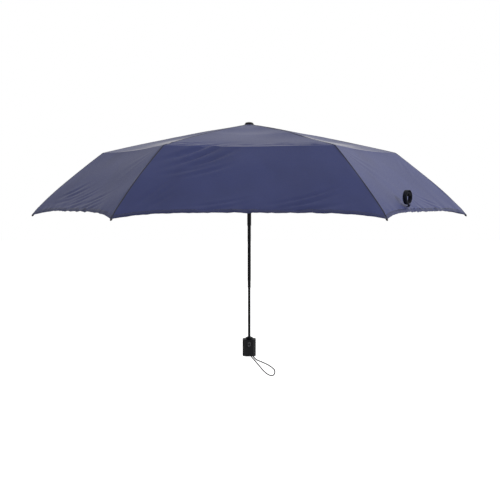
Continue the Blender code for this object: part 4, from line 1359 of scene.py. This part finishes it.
# The soft lights: place, what they point at, size and power.
LIGHTS = {
    "key": ((2.0, -1.0, 0.8), (0, 0, -0.2), 0.9, 24.0),
    "fill": ((-1.8, -0.4, 1.2), (0, 0, -0.15), 1.4, 10.0),
}


def floor_look():
    """Matt white paper with a barely uneven tone."""
    look = Look("studio_paper")
    tone = look.noise(look.object_place(), 3.0, 2.0)
    base = look.mix(look.ramp(tone, 0.2, 0.8), rgb(0.93, 0.93, 0.93), rgb(0.96, 0.96, 0.96))
    look.set(Base_Color=base, Roughness=0.9, Specular_IOR_Level=0.1)
    seen = look.add("ShaderNodeLightPath").outputs["Is Camera Ray"]
    look.set(Emission_Color=base, Emission_Strength=look.times(seen, FLOOR_GLOW))
    return look.material


def studio_world():
    """White as the camera sees it; its soft light is strongest from the right, behind and above."""
    world = bpy.data.worlds.new("studio")
    world.use_nodes = True
    graph = Graph(world.node_tree)
    direction = graph.add("ShaderNodeTexCoord").outputs["Generated"]
    lean = graph.vector("DOT_PRODUCT", direction, LIGHT_LEAN)["Value"]
    strength = graph.math("MAXIMUM", graph.math("ADD", lean, LIGHT_LEVEL), LIGHT_LEAST)
    lighting = graph.add("ShaderNodeBackground", {"Strength": strength}).outputs["Background"]
    white = graph.nodes["Background"]
    graph.put(white.inputs["Color"], rgb(1.0, 1.0, 1.0))
    seen = graph.add("ShaderNodeLightPath").outputs["Is Camera Ray"]
    inputs = {"Fac": seen, 1: lighting, 2: white.outputs["Background"]}
    mixed = graph.add("ShaderNodeMixShader", inputs).outputs["Shader"]
    graph.put(graph.nodes["World Output"].inputs["Surface"], mixed)
    return world


def point_at(obj, place, aim):
    """Put a lamp or a camera at a place and point it at another."""
    obj.location = place
    obj.rotation_euler = (Vector(aim) - Vector(place)).to_track_quat("-Z", "Y").to_euler()


def build_lights():
    """The square soft lights."""
    for name, (place, aim, size, power) in LIGHTS.items():
        data = bpy.data.lights.new(name, "AREA")
        data.size = size
        data.energy = power
        point_at(add_object(name, data), place, aim)


def build_camera():
    """A camera in front, level with the canopy's rim."""
    camera = add_object("camera", bpy.data.cameras.new("camera"))
    camera.data.lens = CAMERA_LENS
    place = (CAMERA_SIDE, -CAMERA_DISTANCE, CAMERA_HEIGHT)
    point_at(camera, place, (CAMERA_SIDE, 0, CAMERA_AIM))
    bpy.context.scene.camera = camera


def build_floor():
    """A wide pale floor below the hanging umbrella."""
    level = CAD_BOX[0].z - FLOOR_DROP
    bpy.ops.mesh.primitive_plane_add(size=FLOOR_SIZE, location=(0, 0, level))
    floor = bpy.context.object
    floor.name = "floor"
    floor.data.materials.append(floor_look())


def build_stage():
    """The floor, the light and the camera."""
    build_floor()
    build_lights()
    build_camera()
    bpy.context.scene.world = studio_world()
    bpy.context.scene.view_settings.view_transform = "Standard"


looks = make_looks()
dress_frame(looks)
build_canopy(looks["canopy_fabric"], looks["canopy_inside"])
build_seams(looks["canopy_seam"])
build_hem(looks["canopy_hem"])
build_strap(looks["strap_fabric"], looks["hook_tape"])
build_cord(looks["cord"])
build_ties(looks["thread"])
build_tip_sleeves(looks["black_plastic"])
build_button_face(looks["button_rim"], looks["button_plastic"])
build_stage()
